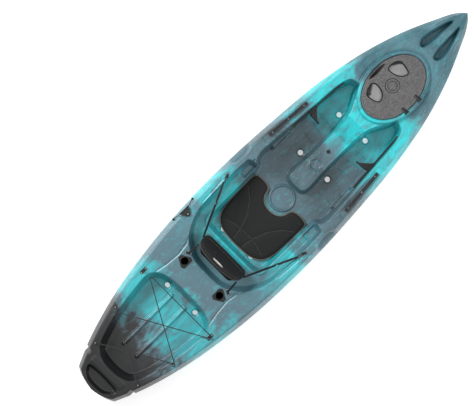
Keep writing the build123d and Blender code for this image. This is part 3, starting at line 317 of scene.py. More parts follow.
# --- materials -----------------------------------------------------------------------------------
class Tree:
    """A material's node tree, with short calls for the nodes that the finishes share."""

    def __init__(self, name, roughness=0.5, **settings):
        self.material = bpy.data.materials.new(name)
        self.material.use_nodes = True
        self.nodes = self.material.node_tree.nodes
        self.links = self.material.node_tree.links
        self.shader = self.nodes["Principled BSDF"]
        self.shader.inputs["Roughness"].default_value = roughness
        for key, value in settings.items():
            self.shader.inputs[key.replace("_", " ")].default_value = value
        self.place = self.node("ShaderNodeTexCoord").outputs["Object"]

    def node(self, kind, inputs=None, **settings):
        made = self.nodes.new(kind)
        for key, value in settings.items():
            setattr(made, key, value)
        for key, value in (inputs or {}).items():
            if isinstance(value, bpy.types.NodeSocket):
                self.links.new(value, made.inputs[key])
            else:
                made.inputs[key].default_value = value
        return made

    def math(self, operation, a, b=0.0):
        return self.node("ShaderNodeMath", {0: a, 1: b}, operation=operation).outputs[0]

    def stretched(self, scale):
        return self.node("ShaderNodeMapping", {"Vector": self.place, "Scale": scale}).outputs[0]

    def noise(self, scale, detail=4.0, vector=None, distortion=0.0, rough=0.5):
        made = self.node("ShaderNodeTexNoise", {
            "Vector": vector or self.place, "Scale": scale, "Detail": detail,
            "Roughness": rough, "Distortion": distortion})
        return made.outputs["Fac"]

    def ramp(self, factor, stops, ease="LINEAR"):
        made = self.node("ShaderNodeValToRGB", {"Fac": factor})
        made.color_ramp.interpolation = ease
        band = made.color_ramp.elements
        while len(band) < len(stops):
            band.new(0.5)
        for element, (place, colour) in zip(band, stops):
            element.position = place
            element.color = (*colour, 1.0)
        return made.outputs["Color"]

    def mix(self, factor, a, b, blend="MIX"):
        made = self.node("ShaderNodeMix", data_type="RGBA", blend_type=blend)
        for key, value in ((0, factor), (6, a), (7, b)):
            if isinstance(value, bpy.types.NodeSocket):
                self.links.new(value, made.inputs[key])
            else:
                made.inputs[key].default_value = (*value, 1.0) if isinstance(value, tuple) else value
        return made.outputs[2]

    def colour(self, value):
        self.links.new(value, self.shader.inputs["Base Color"])
        return self

    def rough(self, factor, low, high):
        span = self.node("ShaderNodeMapRange", {"Value": factor, "To Min": low, "To Max": high})
        self.links.new(span.outputs[0], self.shader.inputs["Roughness"])
        return self

    def bump(self, height, strength, distance):
        made = self.node("ShaderNodeBump", {"Height": height, "Strength": strength, "Distance": distance})
        earlier = self.shader.inputs["Normal"].links
        if earlier:
            self.links.new(earlier[0].from_socket, made.inputs["Normal"])
        self.links.new(made.outputs[0], self.shader.inputs["Normal"])
        return self


def srgb(r, g, b):
    """A colour as the eye names it, from 0 to 255, made linear."""
    return tuple(((c / 255 + 0.055) / 1.055) ** 2.4 if c > 10 else c / 3294 for c in (r, g, b))


TEAL, CYAN = srgb(52, 186, 194), srgb(40, 214, 220)
SLATE, STEEL = srgb(84, 112, 124), srgb(62, 82, 88)
CHARCOAL, BLACK = srgb(46, 47, 49), srgb(24, 24, 25)
DEEP, DUSK = srgb(44, 100, 112), srgb(80, 132, 144)


def swirled_plastic():
    """Rotomoulded polyethylene: bands of colour along the hull that run into each other in swirls."""
    t = Tree("hull_plastic", 0.34, Coat_Weight=0.25, Coat_Roughness=0.2)
    split = t.node("ShaderNodeSeparateXYZ", {"Vector": t.place})
    warp = t.noise(2.2, 5.0, distortion=1.4)
    fine = t.noise(7.0, 6.0, t.stretched((0.7, 1.5, 1.5)), 2.2, 0.6)
    shift = t.math("ADD", t.math("MULTIPLY", warp, 0.62), t.math("MULTIPLY", fine, 0.34))
    along = t.math("ADD", split.outputs["X"], t.math("SUBTRACT", shift, 0.48))
    span = t.node("ShaderNodeMapRange", {
        "Value": along, "From Min": hull_low.x, "From Max": hull_high.x})

    def at(x):
        return (x * MM - hull_low.x) / (hull_high.x - hull_low.x)

    bands = t.ramp(span.outputs[0], [
        (at(-1400), BLACK), (at(-1215), CHARCOAL), (at(-1140), SLATE), (at(-1050), TEAL), (at(-880), TEAL),
        (at(-770), SLATE), (at(-520), DUSK), (at(-400), TEAL), (at(-180), CYAN), (at(-90), DUSK),
        (at(20), SLATE), (at(300), STEEL), (at(430), SLATE), (at(560), TEAL), (at(640), CYAN),
        (at(880), CYAN), (at(980), DUSK), (at(1080), DEEP), (at(1250), DUSK), (at(1420), DEEP),
        (at(1560), DUSK), (at(1660), DEEP)])
    streaks = t.noise(5.0, 8.0, t.stretched((0.55, 1.6, 1.6)), 3.0, 0.62)
    smoke = t.ramp(streaks, [(0.42, (0, 0, 0)), (0.62, (1, 1, 1))])
    amount = t.math("MULTIPLY", smoke, 0.55)
    dark = t.math("GREATER_THAN", split.outputs["X"], -1.18)
    swirl = t.mix(t.math("MULTIPLY", amount, dark), bands, SLATE)
    veins = t.noise(11.0, 7.0, t.stretched((0.6, 1.4, 1.4)), 4.0, 0.6)
    bright = t.ramp(veins, [(0.55, (0, 0, 0)), (0.70, (1, 1, 1))])
    swirl = t.mix(t.math("MULTIPLY", t.math("MULTIPLY", bright, 0.45), dark), swirl, TEAL)
    speck = t.noise(420.0, 2.0)
    swirl = t.mix(t.math("MULTIPLY", speck, 0.14), swirl, srgb(20, 34, 38))
    t.colour(swirl).rough(t.noise(35.0, 3.0), 0.28, 0.46)
    t.bump(t.noise(260.0, 2.0), 0.10, 0.0006).bump(t.noise(14.0, 2.0), 0.12, 0.003)
    return t.material


def moulded_plastic(name, colour, lighter, grain=500.0, low=0.42, high=0.62):
    """Matt moulded plastic with a fine spark-eroded grain and scuffs."""
    t = Tree(name, 0.5)
    worn = t.ramp(t.noise(9.0, 6.0, distortion=0.6), [(0.45, colour), (0.75, lighter)])
    scratched = t.noise(60.0, 4.0, t.stretched((0.2, 1.0, 1.0)), 0.5)
    scuffs = t.ramp(scratched, [(0.6, (0, 0, 0)), (0.72, (1, 1, 1))])
    t.colour(t.mix(t.math("MULTIPLY", scuffs, 0.18), worn, lighter))
    t.rough(t.noise(45.0, 3.0), low, high).bump(t.noise(grain, 2.0), 0.25, 0.0005)
    return t.material


def hatch_plastic():
    """Dark grey moulding with a leather-like stipple."""
    t = Tree("hatch_plastic", 0.5)
    mottled = t.ramp(t.noise(120.0, 5.0), [(0.35, srgb(58, 58, 60)), (0.65, srgb(104, 103, 104))])
    cloudy = t.math("MULTIPLY", t.noise(14.0, 4.0, distortion=0.8), 0.45)
    t.colour(t.mix(cloudy, mottled, srgb(120, 119, 120)))
    cells = t.node("ShaderNodeTexVoronoi", {"Vector": t.place, "Scale": 330.0}, feature="DISTANCE_TO_EDGE")
    t.rough(t.noise(60.0, 3.0), 0.4, 0.6).bump(cells.outputs["Distance"], 0.6, 0.0012)
    return t.material


def brushed_metal(name, colour, low=0.22, high=0.4, stretch=(30.0, 1.0, 1.0)):
    t = Tree(name, 0.3, Metallic=1.0)
    t.colour(t.ramp(t.noise(40.0, 4.0), [(0.3, colour), (0.8, tuple(min(1.0, c * 1.35) for c in colour))]))
    t.rough(t.noise(90.0, 3.0, t.stretched(stretch)), low, high)
    t.bump(t.noise(200.0, 2.0, t.stretched(stretch)), 0.1, 0.0002)
    return t.material


def woven(name, colour, lighter, threads, depth=0.0006, sheen=0.3):
    """Cloth with a plain weave, tied to the object's own axes."""
    t = Tree(name, 0.85, Sheen_Weight=sheen, Sheen_Roughness=0.4)
    waves = []
    for axis in ("X", "Y"):
        made = t.node("ShaderNodeTexWave", {"Vector": t.place, "Scale": threads, "Distortion": 0.6,
                                            "Detail": 1.0, "Detail Scale": 2.0}, bands_direction=axis)
        waves.append(made.outputs["Fac"])
    weave = t.math("MULTIPLY", waves[0], waves[1])
    faded = t.mix(t.math("MULTIPLY", t.noise(7.0, 5.0), 0.6), colour, lighter)
    t.colour(t.mix(t.math("MULTIPLY", weave, 0.35), faded, lighter))
    t.rough(weave, 0.72, 0.95).bump(weave, 0.5, depth).bump(t.noise(30.0, 4.0), 0.25, 0.002)
    return t.material


def braided(name):
    """Shock cord: a black braid with a fine spiral of lighter threads."""
    t = Tree(name, 0.7, Sheen_Weight=0.2)
    spiral = t.node("ShaderNodeTexWave", {"Vector": t.stretched((1.0, 1.0, 1.4)), "Scale": 160.0,
                                          "Distortion": 1.5}, bands_direction="DIAGONAL").outputs["Fac"]
    t.colour(t.ramp(spiral, [(0.45, srgb(16, 16, 17)), (0.95, srgb(58, 58, 60))]))
    t.bump(spiral, 0.6, 0.0006)
    return t.material


hull_finish = swirled_plastic()
black_finish = moulded_plastic("black_plastic", srgb(12, 12, 13), srgb(34, 34, 36))
pan_finish = moulded_plastic("latch_pan", srgb(128, 128, 129), srgb(158, 158, 158), 300.0)
dark_rubber = moulded_plastic("seal_rubber", srgb(22, 22, 22), srgb(40, 40, 40), 300.0, 0.7, 0.9)
brown_finish = moulded_plastic("rail_plastic", srgb(30, 25, 22), srgb(58, 50, 44))
hatch_finish = hatch_plastic()
# lighter copy of the hatch plastic for the cover's raised ribs: painted highlight
rib_highlight_finish = moulded_plastic("hatch_rib_highlight", srgb(92, 90, 91), srgb(126, 124, 125), 300.0)
steel_finish = brushed_metal("steel", (0.30, 0.29, 0.28), 0.38, 0.55)
track_finish = brushed_metal("track_metal", (0.055, 0.055, 0.06), 0.3, 0.5)
pad_fabric = woven("seat_fabric", srgb(12, 12, 12), srgb(27, 27, 27), 260.0, sheen=0.0)
band_fabric = woven("band_fabric", srgb(44, 43, 42), srgb(66, 64, 62), 300.0, sheen=0.0)
tag_fabric = woven("tag_fabric", srgb(214, 214, 212), srgb(238, 238, 236), 500.0, 0.0003)
strap_fabric = woven("webbing", srgb(9, 9, 10), srgb(26, 26, 27), 420.0, 0.0004, 0.0)
stitch_fabric = woven("stitching", srgb(62, 60, 58), srgb(92, 90, 86), 600.0, 0.0002, 0.0)
piping_fabric = woven("piping", srgb(92, 86, 78), srgb(120, 112, 102), 420.0, 0.0004)
cord_finish = braided("bungee")


# --- mesh helpers --------------------------------------------------------------------------------
def mesh_object(name, points, faces, material, body="hull"):
    """A smooth-shaded mesh from points in millimetres."""
    mesh = bpy.data.meshes.new(name)
    mesh.from_pydata([tuple(p) for p in np.asarray(points) * MM], [], faces)
    mesh.validate()
    mesh.polygons.foreach_set("use_smooth", [True] * len(mesh.polygons))
    mesh.materials.append(material)
    made = bpy.data.objects.new(name, mesh)
    bpy.context.scene.collection.objects.link(made)
    if body:
        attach(made, body)
    return made


def grid_faces(rows, columns, keep=None, closed=False, flip=False):
    """Faces of a grid of points stored row by row."""
    i, j = np.meshgrid(np.arange(rows - 1), np.arange(columns if closed else columns - 1), indexing="ij")
    k = (j + 1) % columns
    quads = np.stack([i * columns + j, (i + 1) * columns + j, (i + 1) * columns + k, i * columns + k], -1)
    if flip:
        quads = quads[..., ::-1]
    if keep is not None:
        quads = quads[keep]
    return quads.reshape(-1, 4).tolist()


# --- hull ----------------------------------------------------------------------------------------
aft_x = np.concatenate([-half_length + 60 * np.linspace(0, 1, 26) ** 2, np.arange(-1612.0, -741, 3.3)])
middle_x = np.arange(-740.0, 1301.0, 4.4)
fore_x = np.concatenate([np.arange(middle_x[-1], 1640, 3.2), np.linspace(1641, half_length - 0.2, 16)])
aft_x = np.append(aft_x, middle_x[0])


def near_scupper(x, y, radius):
    hit = np.zeros(x.shape, bool)
    for sx, sy in scuppers:
        hit |= np.hypot(x - sx, np.abs(y) - sy) < radius
    return hit


def near_rod_holder(x, y):
    opening, squeeze = 26, 0.96  # the tilted bore meets the deck in an oval
    return np.hypot((x - rod_x) * squeeze, np.abs(y) - rod_y) < opening


def deck_piece(name, xs, columns):
    share = np.sin(np.linspace(-1, 1, columns) * 1.25) / math.sin(1.25)
    x = np.repeat(xs[:, None], columns, 1)
    y = half_deck(x) * share[None, :]
    z = deck_surface(x, y)
    mid_x, mid_y = (x[1:, 1:] + x[:-1, :-1]) / 2, (y[1:, 1:] + y[:-1, :-1]) / 2
    keep = ~(near_scupper(mid_x, mid_y, 19.5) | near_rod_holder(mid_x, mid_y))
    points = np.stack([x, y, z], -1).reshape(-1, 3)
    made = mesh_object(name, points, grid_faces(len(xs), columns, keep), hull_finish)
    return made


deck_pieces = [
    deck_piece("deck_aft", aft_x, 190),
    deck_piece("deck_middle", middle_x, 208),
    deck_piece("deck_fore", fore_x, 130),
]


def underside():
    """The hull from the deck's edge down its sides and under its bottom, as one skin."""
    xs = np.unique(np.concatenate([aft_x, middle_x[1:], fore_x[1:]]))
    side_rows, bottom_rows = 7, 42
    x = xs[:, None]
    edge_y, beam = half_deck(x), shaped(through(stations[:, 0], stations[:, 1], x), x)
    widest, keel = widest_height(x), keel_height(x)
    t = np.linspace(0, 1, side_rows)[None, :]
    u = np.sin(np.linspace(1, 0, bottom_rows)[None, 1:] * math.pi / 2)
    fullness = 3.4
    halves = []
    for side in (1, -1):
        edge_z = deck_surface(x + 0 * edge_y, side * edge_y)
        widest_here = np.minimum(widest, edge_z - 1)
        side_y = edge_y + (beam - edge_y) * t + 2.5 * np.sin(math.pi * t) * (beam / 400)
        side_z = edge_z + (widest_here - edge_z) * t
        bottom_y = beam * u
        curve = 1 - np.maximum(1 - u**fullness, 0) ** (1 / fullness)
        bottom_z = keel + (widest_here - keel) * curve
        channel = np.exp(-(((bottom_y - 122) / 22) ** 2))
        channel = channel * smooth((x + 1350) / 150) * smooth((1150 - x) / 150)
        bottom_z = bottom_z + 5 * channel
        bottom_z = np.maximum(bottom_z, 0.5)
        halves.append((np.concatenate([side_y, bottom_y], 1) * side, np.concatenate([side_z, bottom_z], 1)))
    y = np.concatenate([halves[0][0], halves[1][0][:, -2::-1]], 1)
    z = np.concatenate([halves[0][1], halves[1][1][:, -2::-1]], 1)
    xx = np.repeat(x, y.shape[1], 1)
    points = np.stack([xx, y, z], -1)
    columns = y.shape[1]
    mid_x, mid_y = (xx[1:, 1:] + xx[:-1, :-1]) / 2, (y[1:, 1:] + y[:-1, :-1]) / 2
    keep = ~(near_scupper(mid_x, mid_y, 25) & (z[1:, 1:] < 60))
    faces = grid_faces(len(xs), columns, keep)
    faces.append(list(range(columns)))
    last = (len(xs) - 1) * columns
    faces.append(list(range(last, last + columns))[::-1])
    return mesh_object("hull_underside", points.reshape(-1, 3), faces, hull_finish)


underside()


def turned(name, profile, place, material, body="hull", segments=48):
    """A round piece from a profile of (radius, height) about a vertical line through the place."""
    angles = np.linspace(0, 2 * math.pi, segments, endpoint=False)
    r = np.array([p[0] for p in profile])[:, None]
    h = np.array([p[1] for p in profile])[:, None] + 0 * angles[None, :]
    points = np.stack([place[0] + r * np.cos(angles), place[1] + r * np.sin(angles), h], -1).reshape(-1, 3)
    faces = grid_faces(len(profile), segments, closed=True, flip=True)
    return mesh_object(name, points, faces, material, body)


for index, (sx, sy) in enumerate(scuppers):
    level = tankwell_z if sx < -800 else floor_z
    for side in (1, -1):
        profile = [(26, level - 3.0), (24, level - 2.6), (21, level - 3.2), (19, level - 5), (18, level - 8),
                   (18, 12), (19, 6), (22, 2), (27, 0.2), (38, 0.1), (39, 1.5)]
        word = "port" if side > 0 else "starboard"
        turned(f"scupper_{index}_{word}", profile, (sx, side * sy), hull_finish)
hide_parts(*hull_nodes)


# --- pieces cut from an outline ------------------------------------------------------------------
def filled(outline, spacing):
    """Triangles that fill an outline, with points inside it at that spacing."""
    low, high = outline.min(0), outline.max(0)
    gx, gy = np.meshgrid(np.arange(low[0], high[0], spacing), np.arange(low[1], high[1], spacing))
    gx = gx + 0.5 * spacing * (np.arange(gx.shape[0])[:, None] % 2)
    apart = depth_inside(outline, gx, gy) > 0.55 * spacing
    points = [Vector(p) for p in outline]
    edges = [(i, (i + 1) % len(outline)) for i in range(len(outline))]
    points += [Vector((x, y)) for x, y in zip(gx[apart], gy[apart])]
    verts, _, faces, *_ = delaunay_2d_cdt(points, edges, [], 0, 1e-4)
    flat = np.array([tuple(v) for v in verts])
    middle = np.array([flat[list(f)].mean(0) for f in faces])
    within = depth_inside(outline, middle[:, 0], middle[:, 1]) > 0
    return flat, [f for f, ok in zip(faces, within) if ok]


def resampled(points, spacing, closed=True):
    p = np.asarray(points, float)
    if closed:
        p = np.vstack([p, p[:1]])
    length = np.concatenate([[0], np.cumsum(np.hypot(*np.diff(p, axis=0).T))])
    count = max(4, int(round(length[-1] / spacing)))
    at = np.linspace(0, length[-1], count + 1)
    at = at[:-1] if closed else at
    return np.stack([np.interp(at, length, p[:, 0]), np.interp(at, length, p[:, 1])], 1)


def tube(name, path, radius, material, body, closed=True, sides=10, flatten=1.0):
    """A round cord along a path of points in millimetres."""
    p = np.asarray(path, float)
    if closed:
        ahead, behind = np.roll(p, -1, axis=0), np.roll(p, 1, axis=0)
    else:
        ahead, behind = np.vstack([p[1:], p[-1:]]), np.vstack([p[:1], p[:-1]])
    run = ahead - behind
    run /= np.linalg.norm(run, axis=1)[:, None]
    side = np.cross(run, [0, 0, 1.0])
    side /= np.maximum(np.linalg.norm(side, axis=1), 1e-9)[:, None]
    up = np.cross(side, run)
    angles = np.linspace(0, 2 * math.pi, sides, endpoint=False)
    level, rise = np.cos(angles)[None, :, None], np.sin(angles)[None, :, None] * flatten
    ring = side[:, None] * level + up[:, None] * rise
    points = (p[:, None] + radius * ring).reshape(-1, 3)
    faces = grid_faces(len(p) + 1 if closed else len(p), sides, closed=True)
    faces = [[i % len(points) for i in face] for face in faces]
    if not closed:
        faces += [list(range(sides))[::-1], list(range(len(points) - sides, len(points)))]
    return mesh_object(name, points, faces, material, body)


def placed(points, origin, across, up):
    """Points of a flat drawing (across, up, height) put into the row frame, in millimetres."""
    across, up = np.asarray(across, float), np.asarray(up, float)
    normal = np.cross(across, up)
    return np.asarray(origin) + points[:, :1] * across + points[:, 1:2] * up + points[:, 2:] * normal


# --- cushions ------------------------------------------------------------------------------------
def cushion(name, outline, seams, low, thick, edge, material, body, frame_of=None, spacing=6.5):
    """A stuffed panel: its top swells between the edge and the sewn lines, and is creased along them."""
    outline = resampled(outline, spacing * 0.8)
    flat, faces = filled(outline, spacing)
    x, y = flat[:, 0], flat[:, 1]
    depth = np.maximum(depth_inside(outline, x, y, 400.0), 0)
    swell = np.sqrt(1 - (1 - np.minimum(depth / 26, 1)) ** 2)
    sewn = np.full(len(x), 1e9)
    for seam in seams:
        sewn = np.minimum(sewn, line_distance(seam, x, y))
    pull = np.exp(-((sewn / 5) ** 2)) * 3.2 + np.exp(-((sewn / 22) ** 2)) * 2.0
    wrinkle = 0.5 * np.sin(x / 17 + 2.1 * np.sin(y / 31)) * np.sin(y / 23 + 1.3 * np.sin(x / 27))
    ripple = 0.7 * np.sin((x + y) / 9.0) * np.exp(-((sewn / 12) ** 2))
    top = low + edge + (thick - edge - 1.2) * swell + (wrinkle + ripple - pull) * swell
    under = low + edge - (edge - 0.4) * np.sqrt(1 - (1 - np.minimum(depth / 9, 1)) ** 2)
    count = len(flat)
    points = np.vstack([np.stack([x, y, top], 1), np.stack([x, y, under], 1)])
    faces = [tuple(f) for f in faces]
    all_faces = faces + [tuple(i + count for i in f)[::-1] for f in faces]
    if frame_of:
        points = placed(points, *frame_of)
    made = mesh_object(name, points, all_faces, material, body)
    weld = bmesh.new()
    weld.from_mesh(made.data)
    bmesh.ops.remove_doubles(weld, verts=weld.verts, dist=0.0002)
    bmesh.ops.recalc_face_normals(weld, faces=weld.faces)
    weld.to_mesh(made.data)
    weld.free()
    for index, seam in enumerate(seams):
        nearest = np.argmin(np.hypot(seam[:, :1] - x[None, :], seam[:, 1:] - y[None, :]), axis=1)
        path = np.column_stack([seam, top[nearest] + 0.6])
        if frame_of:
            path = placed(path, *frame_of)
        tube(f"{name}_stitch_{index}", path, 1.3, stitch_fabric, body, closed=False, sides=6)
    return made, outline


def sewn_lines(points):
    return resampled(points, 6, closed=False)


pad_low = floor_z + 0.3
pad_thick = (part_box("seat_pad")[1].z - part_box("seat_pad")[0].z) / MM
pad_outline = rounded(both_sides([
    (-386, 30), (-378, 128), (-338, 196), (-250, 226), (-120, 229), (-6, 231), (24, 222), (31, 180),
    (30, 134), (14, 100), (-40, 92), (-82, 42)]), 3)
pad_seams = [sewn_lines(line) for side in (1, -1) for line in (
    [(-62, side * 212), (-113, side * 146), (-190, side * 88), (-289, side * 50), (-368, side * 38)],
    [(-318, side * 160), (-297, side * 103), (-290, side * 50), (-288, 0)])]
seat, seat_edge = cushion("seat_cushion", pad_outline, pad_seams, pad_low, pad_thick, 17, pad_fabric, "hull")
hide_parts("seat_pad")
piping_path = np.column_stack([seat_edge * 1.0, np.full(len(seat_edge), pad_low + 17)])
tube("seat_piping", piping_path, 4.2, piping_fabric, "hull")

lean = math.radians(26)
hinge_place = (-465.0, 0.0, 211.0)
back_frame = (hinge_place, (0, 1, 0), (-math.sin(lean), 0, math.cos(lean)))
back_outline = rounded([
    (-140, 17), (140, 17), (172, 40), (175, 110), (166, 190), (120, 244), (50, 258), (-50, 258), (-120, 244),
    (-166, 190), (-175, 110), (-172, 40)], 3)
back_seams = [sewn_lines(line) for line in (
    [(-160, 172), (-110, 216), (-40, 228), (40, 228), (110, 216), (160, 172)],
    [(-168, 70), (-90, 60), (0, 57), (90, 60), (168, 70)])]
back, back_edge = cushion(
    "backrest_cushion", back_outline, back_seams, 3.4, 22.4, 11, pad_fabric, "seat_back", back_frame)
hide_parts("seat_back_cushion")
edge_path = np.column_stack([back_edge, np.full(len(back_edge), 14.5)])
tube("backrest_piping", placed(edge_path, *back_frame), 3.6, band_fabric, "seat_back")


def tag():
    """The plain woven tag on the backrest."""
    corners = resampled(rounded([(-41, 212), (41, 212), (41, 225), (-41, 225)], 2), 3)
    count = len(corners)
    rings = []
    for shrink, height in ((1.0, 21.0), (1.0, 23.6), (0.97, 24.2)):
        middle = np.array([0, 218.5])
        rings.append(np.column_stack([middle + (corners - middle) * shrink, np.full(count, height)]))
    points = placed(np.vstack(rings), *back_frame)
    faces = grid_faces(3, count, closed=True) + [list(range(2 * count, 3 * count))]
    return mesh_object("backrest_tag", points, faces, tag_fabric, "seat_back")


tag()


# --- webbing straps ------------------------------------------------------------------------------
def strap(name, stops, width, replaced=None, lean_over=50, follows_back=False):
    """A flat webbing strap from the hull, tilted so that its face shows from above."""
    p = [np.asarray(stop, float) for stop in stops]
    steps = 28
    t = np.linspace(0, 1, steps)
    line = p[0] + (p[-1] - p[0]) * t[:, None]
    run = (p[-1] - p[0]) / np.linalg.norm(p[-1] - p[0])
    level = np.cross(run, [0, 0, 1.0])
    level /= np.linalg.norm(level)
    tilt = np.radians(lean_over) * (0.75 + 0.25 * np.cos(2 * math.pi * t))
    face = level * np.cos(tilt)[:, None] + np.array([0, 0, 1.0]) * np.sin(tilt)[:, None]
    thin = np.cross(np.broadcast_to(run, face.shape), face)
    profile = [(-1, -0.6), (-1, 0.6), (-0.9, 1), (0.9, 1), (1, 0.6), (1, -0.6), (0.9, -1), (-0.9, -1)]
    rows = [line + face * (a * width / 2) + thin * (b * 1.0) for a, b in profile]
    points = np.stack(rows, 1).reshape(-1, 3)
    faces = grid_faces(steps, len(profile), closed=True)
    faces += [list(range(8))[::-1], list(range(len(points) - 8, len(points)))]
    made = mesh_object(name, points, faces, strap_fabric, None if follows_back else "hull")
    if follows_back:
        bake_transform(made)
    if replaced:
        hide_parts(replaced)
    return made


for side, word in ((1, "port"), (-1, "starboard")):
    strap_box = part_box(f"front_strap_{word}")
    strap_level = (strap_box[0].z + strap_box[1].z) / 2 / MM
    near, far = (-497, side * 178.2, strap_level), (-158, side * 333, strap_level)
    mid_back, mid_front = (-296, side * 270, strap_level), (-284, side * 275.5, strap_level)
    strap(f"front_webbing_{word}", [mid_back, near], 15, f"front_strap_{word}", 42, follows_back=True)
    strap(f"front_tail_{word}", [mid_front, far], 15, None, 48)
    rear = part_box(f"rear_strap_{word}")
    top = (rear[1].x / MM - 8, side * 166, rear[1].z / MM - 10)
    foot = (rear[0].x / MM + 3, side * 175, rear[0].z / MM + 9)
    strap(f"rear_webbing_{word}", [foot, top], 16, f"rear_strap_{word}", 60, follows_back=True)


# --- hatch cover ---------------------------------------------------------------------------------
cover_a, cover_b = 237.0, 165.0
pocket_forward = rounded([(1180, 98), (1163, 0), (1140, -14), (1096, 12), (1072, 72), (1078, 122)], 3)
pocket_aft = rounded([(956, 122), (965, 54), (938, 4), (886, -16), (856, 74), (888, 108)], 3)


def cover_top(x, y):
    edge = ellipse_depth(hatch_x, cover_a, cover_b, x, y)
    z = coaming_z + 1.0 - 3.0 * (1 - smooth(edge / 7)) ** 2
    z = z + 1.4 * smooth(edge / 60)
    ring = np.exp(-(((edge - 13) / 3.0) ** 2))
    z = z - 1.2 * ring
    field = smooth((edge - 18) / 6) * smooth((-14 - y) / 6) * smooth((x - 900) / 8)
    field = np.maximum(field, smooth((edge - 18) / 6) * smooth((x - 1165) / 8) * smooth((70 - y) / 8))
    lines = np.maximum(rib_line(x, 930, 42), rib_line(y, -25, 42))
    z = z + 1.3 * field * lines
    boss = np.hypot(x - hatch_x, y - 10)
    z = z - 1.4 * smooth((50 - boss) / 4) + 1.0 * smooth((44 - boss) / 5)
    for outline in (pocket_forward, pocket_aft):
        z = z - 12.5 * smooth((depth_inside(outline, x, y) - 2) / 3)
    z = z - 9 * smooth((84 - np.hypot(x - 1018, y - 217)) / 4)
    for dx, dy in ((971, 110), (914, -20), (1067, 112), (1133, -14)):
        z = z - 2.0 * smooth((5.5 - np.hypot(x - dx, y - dy)) / 2)
    return z


def rib_line(value, start, spacing):
    offset = np.abs((value - start + spacing / 2) % spacing - spacing / 2)
    return smooth((2.6 - offset) / 1.6)


def cover():
    """The cover as one closed moulding: its top, its rim and its underside."""
    rings, spokes = 120, 360
    share = np.concatenate([np.linspace(0.0, 0.93, rings - 14), np.linspace(0.935, 1.0, 14)])
    angle = np.linspace(0, 2 * math.pi, spokes, endpoint=False)
    x = hatch_x + cover_a * share[:, None] * np.cos(angle)[None, :]
    y = cover_b * share[:, None] * np.sin(angle)[None, :]
    top = cover_top(x, y)
    under = np.minimum(310.4, top - 2.6)
    upper, lower = np.stack([x, y, top], -1), np.stack([x, y, under], -1)[::-1]
    points = np.vstack([upper.reshape(-1, 3), lower.reshape(-1, 3)])
    faces = grid_faces(2 * rings, spokes, closed=True)
    made = mesh_object("hatch_lid", points, faces, hatch_finish, "hatch")
    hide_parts("hatch_cover")
    return made


def latch_pan(name, outline):
    """The pocket a latch lever lies in: a rim and a draughted wall in black as painted shade of the gap
    round the lever, and a pale floor.
    """
    outline = resampled(outline, 4)
    middle = outline.mean(0)
    inward = middle - outline
    inward /= np.linalg.norm(inward, axis=1)[:, None]
    top = coaming_z + 2.4
    profile = [(-2, top - 1.5), (-1.5, top), (2.5, top + 0.2), (4.5, top - 1), (6, 312), (7.5, 309.6)]
    rows = [np.column_stack([outline + inward * d, np.full(len(outline), z)]) for d, z in profile]
    # the rim and draughted wall are black: painted shade of the gap round the lever
    rim = mesh_object(name + "_shade_rim", np.vstack(rows), grid_faces(len(profile), len(outline), closed=True),
                      black_finish, "hatch")
    start = outline + inward * 7.5
    floor_rows = []
    for k in (1.0, 0.85, 0.6, 0.3, 0.02):
        level = np.full(len(outline), 309.5 - 0.35 * (1 - k))
        floor_rows.append(np.column_stack([middle + (start - middle) * k, level]))
    mesh_object(name + "_floor", np.vstack(floor_rows), grid_faces(5, len(outline), closed=True), pan_finish,
                "hatch")
    return rim


def hinge_arms():
    """Two arms that reach over the coaming to the hinge axis."""
    axis_y, axis_z, radius = -175.0, 326.0, 5.4
    round_end = [(axis_y + radius * math.cos(a), axis_z + radius * math.sin(a))
                 for a in np.radians(np.arange(80, 300, 20))]
    profile = np.array([(-132, 321.8), (-142, 325.2), (-156, 329.8)] + round_end + [
        (-160, 321.8), (-148, 320.6), (-132, 318.8)])
    for x, word in ((966, "aft"), (1080, "forward")):
        rows = []
        for dx, shrink in ((-10, 0.86), (-9, 1.0), (9, 1.0), (10, 0.86)):
            middle = profile.mean(0)
            shape = middle + (profile - middle) * shrink if abs(dx) == 10 else profile
            rows.append(np.column_stack([np.full(len(profile), x + dx), shape]))
        faces = grid_faces(4, len(profile), closed=True)
        faces += [list(range(len(profile)))[::-1], list(range(3 * len(profile), 4 * len(profile)))]
        mesh_object(f"hinge_arm_{word}", np.vstack(rows), faces, black_finish, "hatch")


def plate(name, outline, low, high, material, body):
    """A thin flat plate with a chamfered top edge."""
    count = len(outline)
    middle = outline.mean(0)
    inward = middle - outline
    inward /= np.linalg.norm(inward, axis=1)[:, None]
    rows = [np.column_stack([outline + inward * step, np.full(count, z)])
            for step, z in ((0.0, low), (0.0, high - 0.5), (0.6, high))]
    faces = grid_faces(3, count, closed=True)
    faces += [list(range(count))[::-1], list(range(2 * count, 3 * count))]
    return mesh_object(name, np.vstack(rows), faces, material, body)


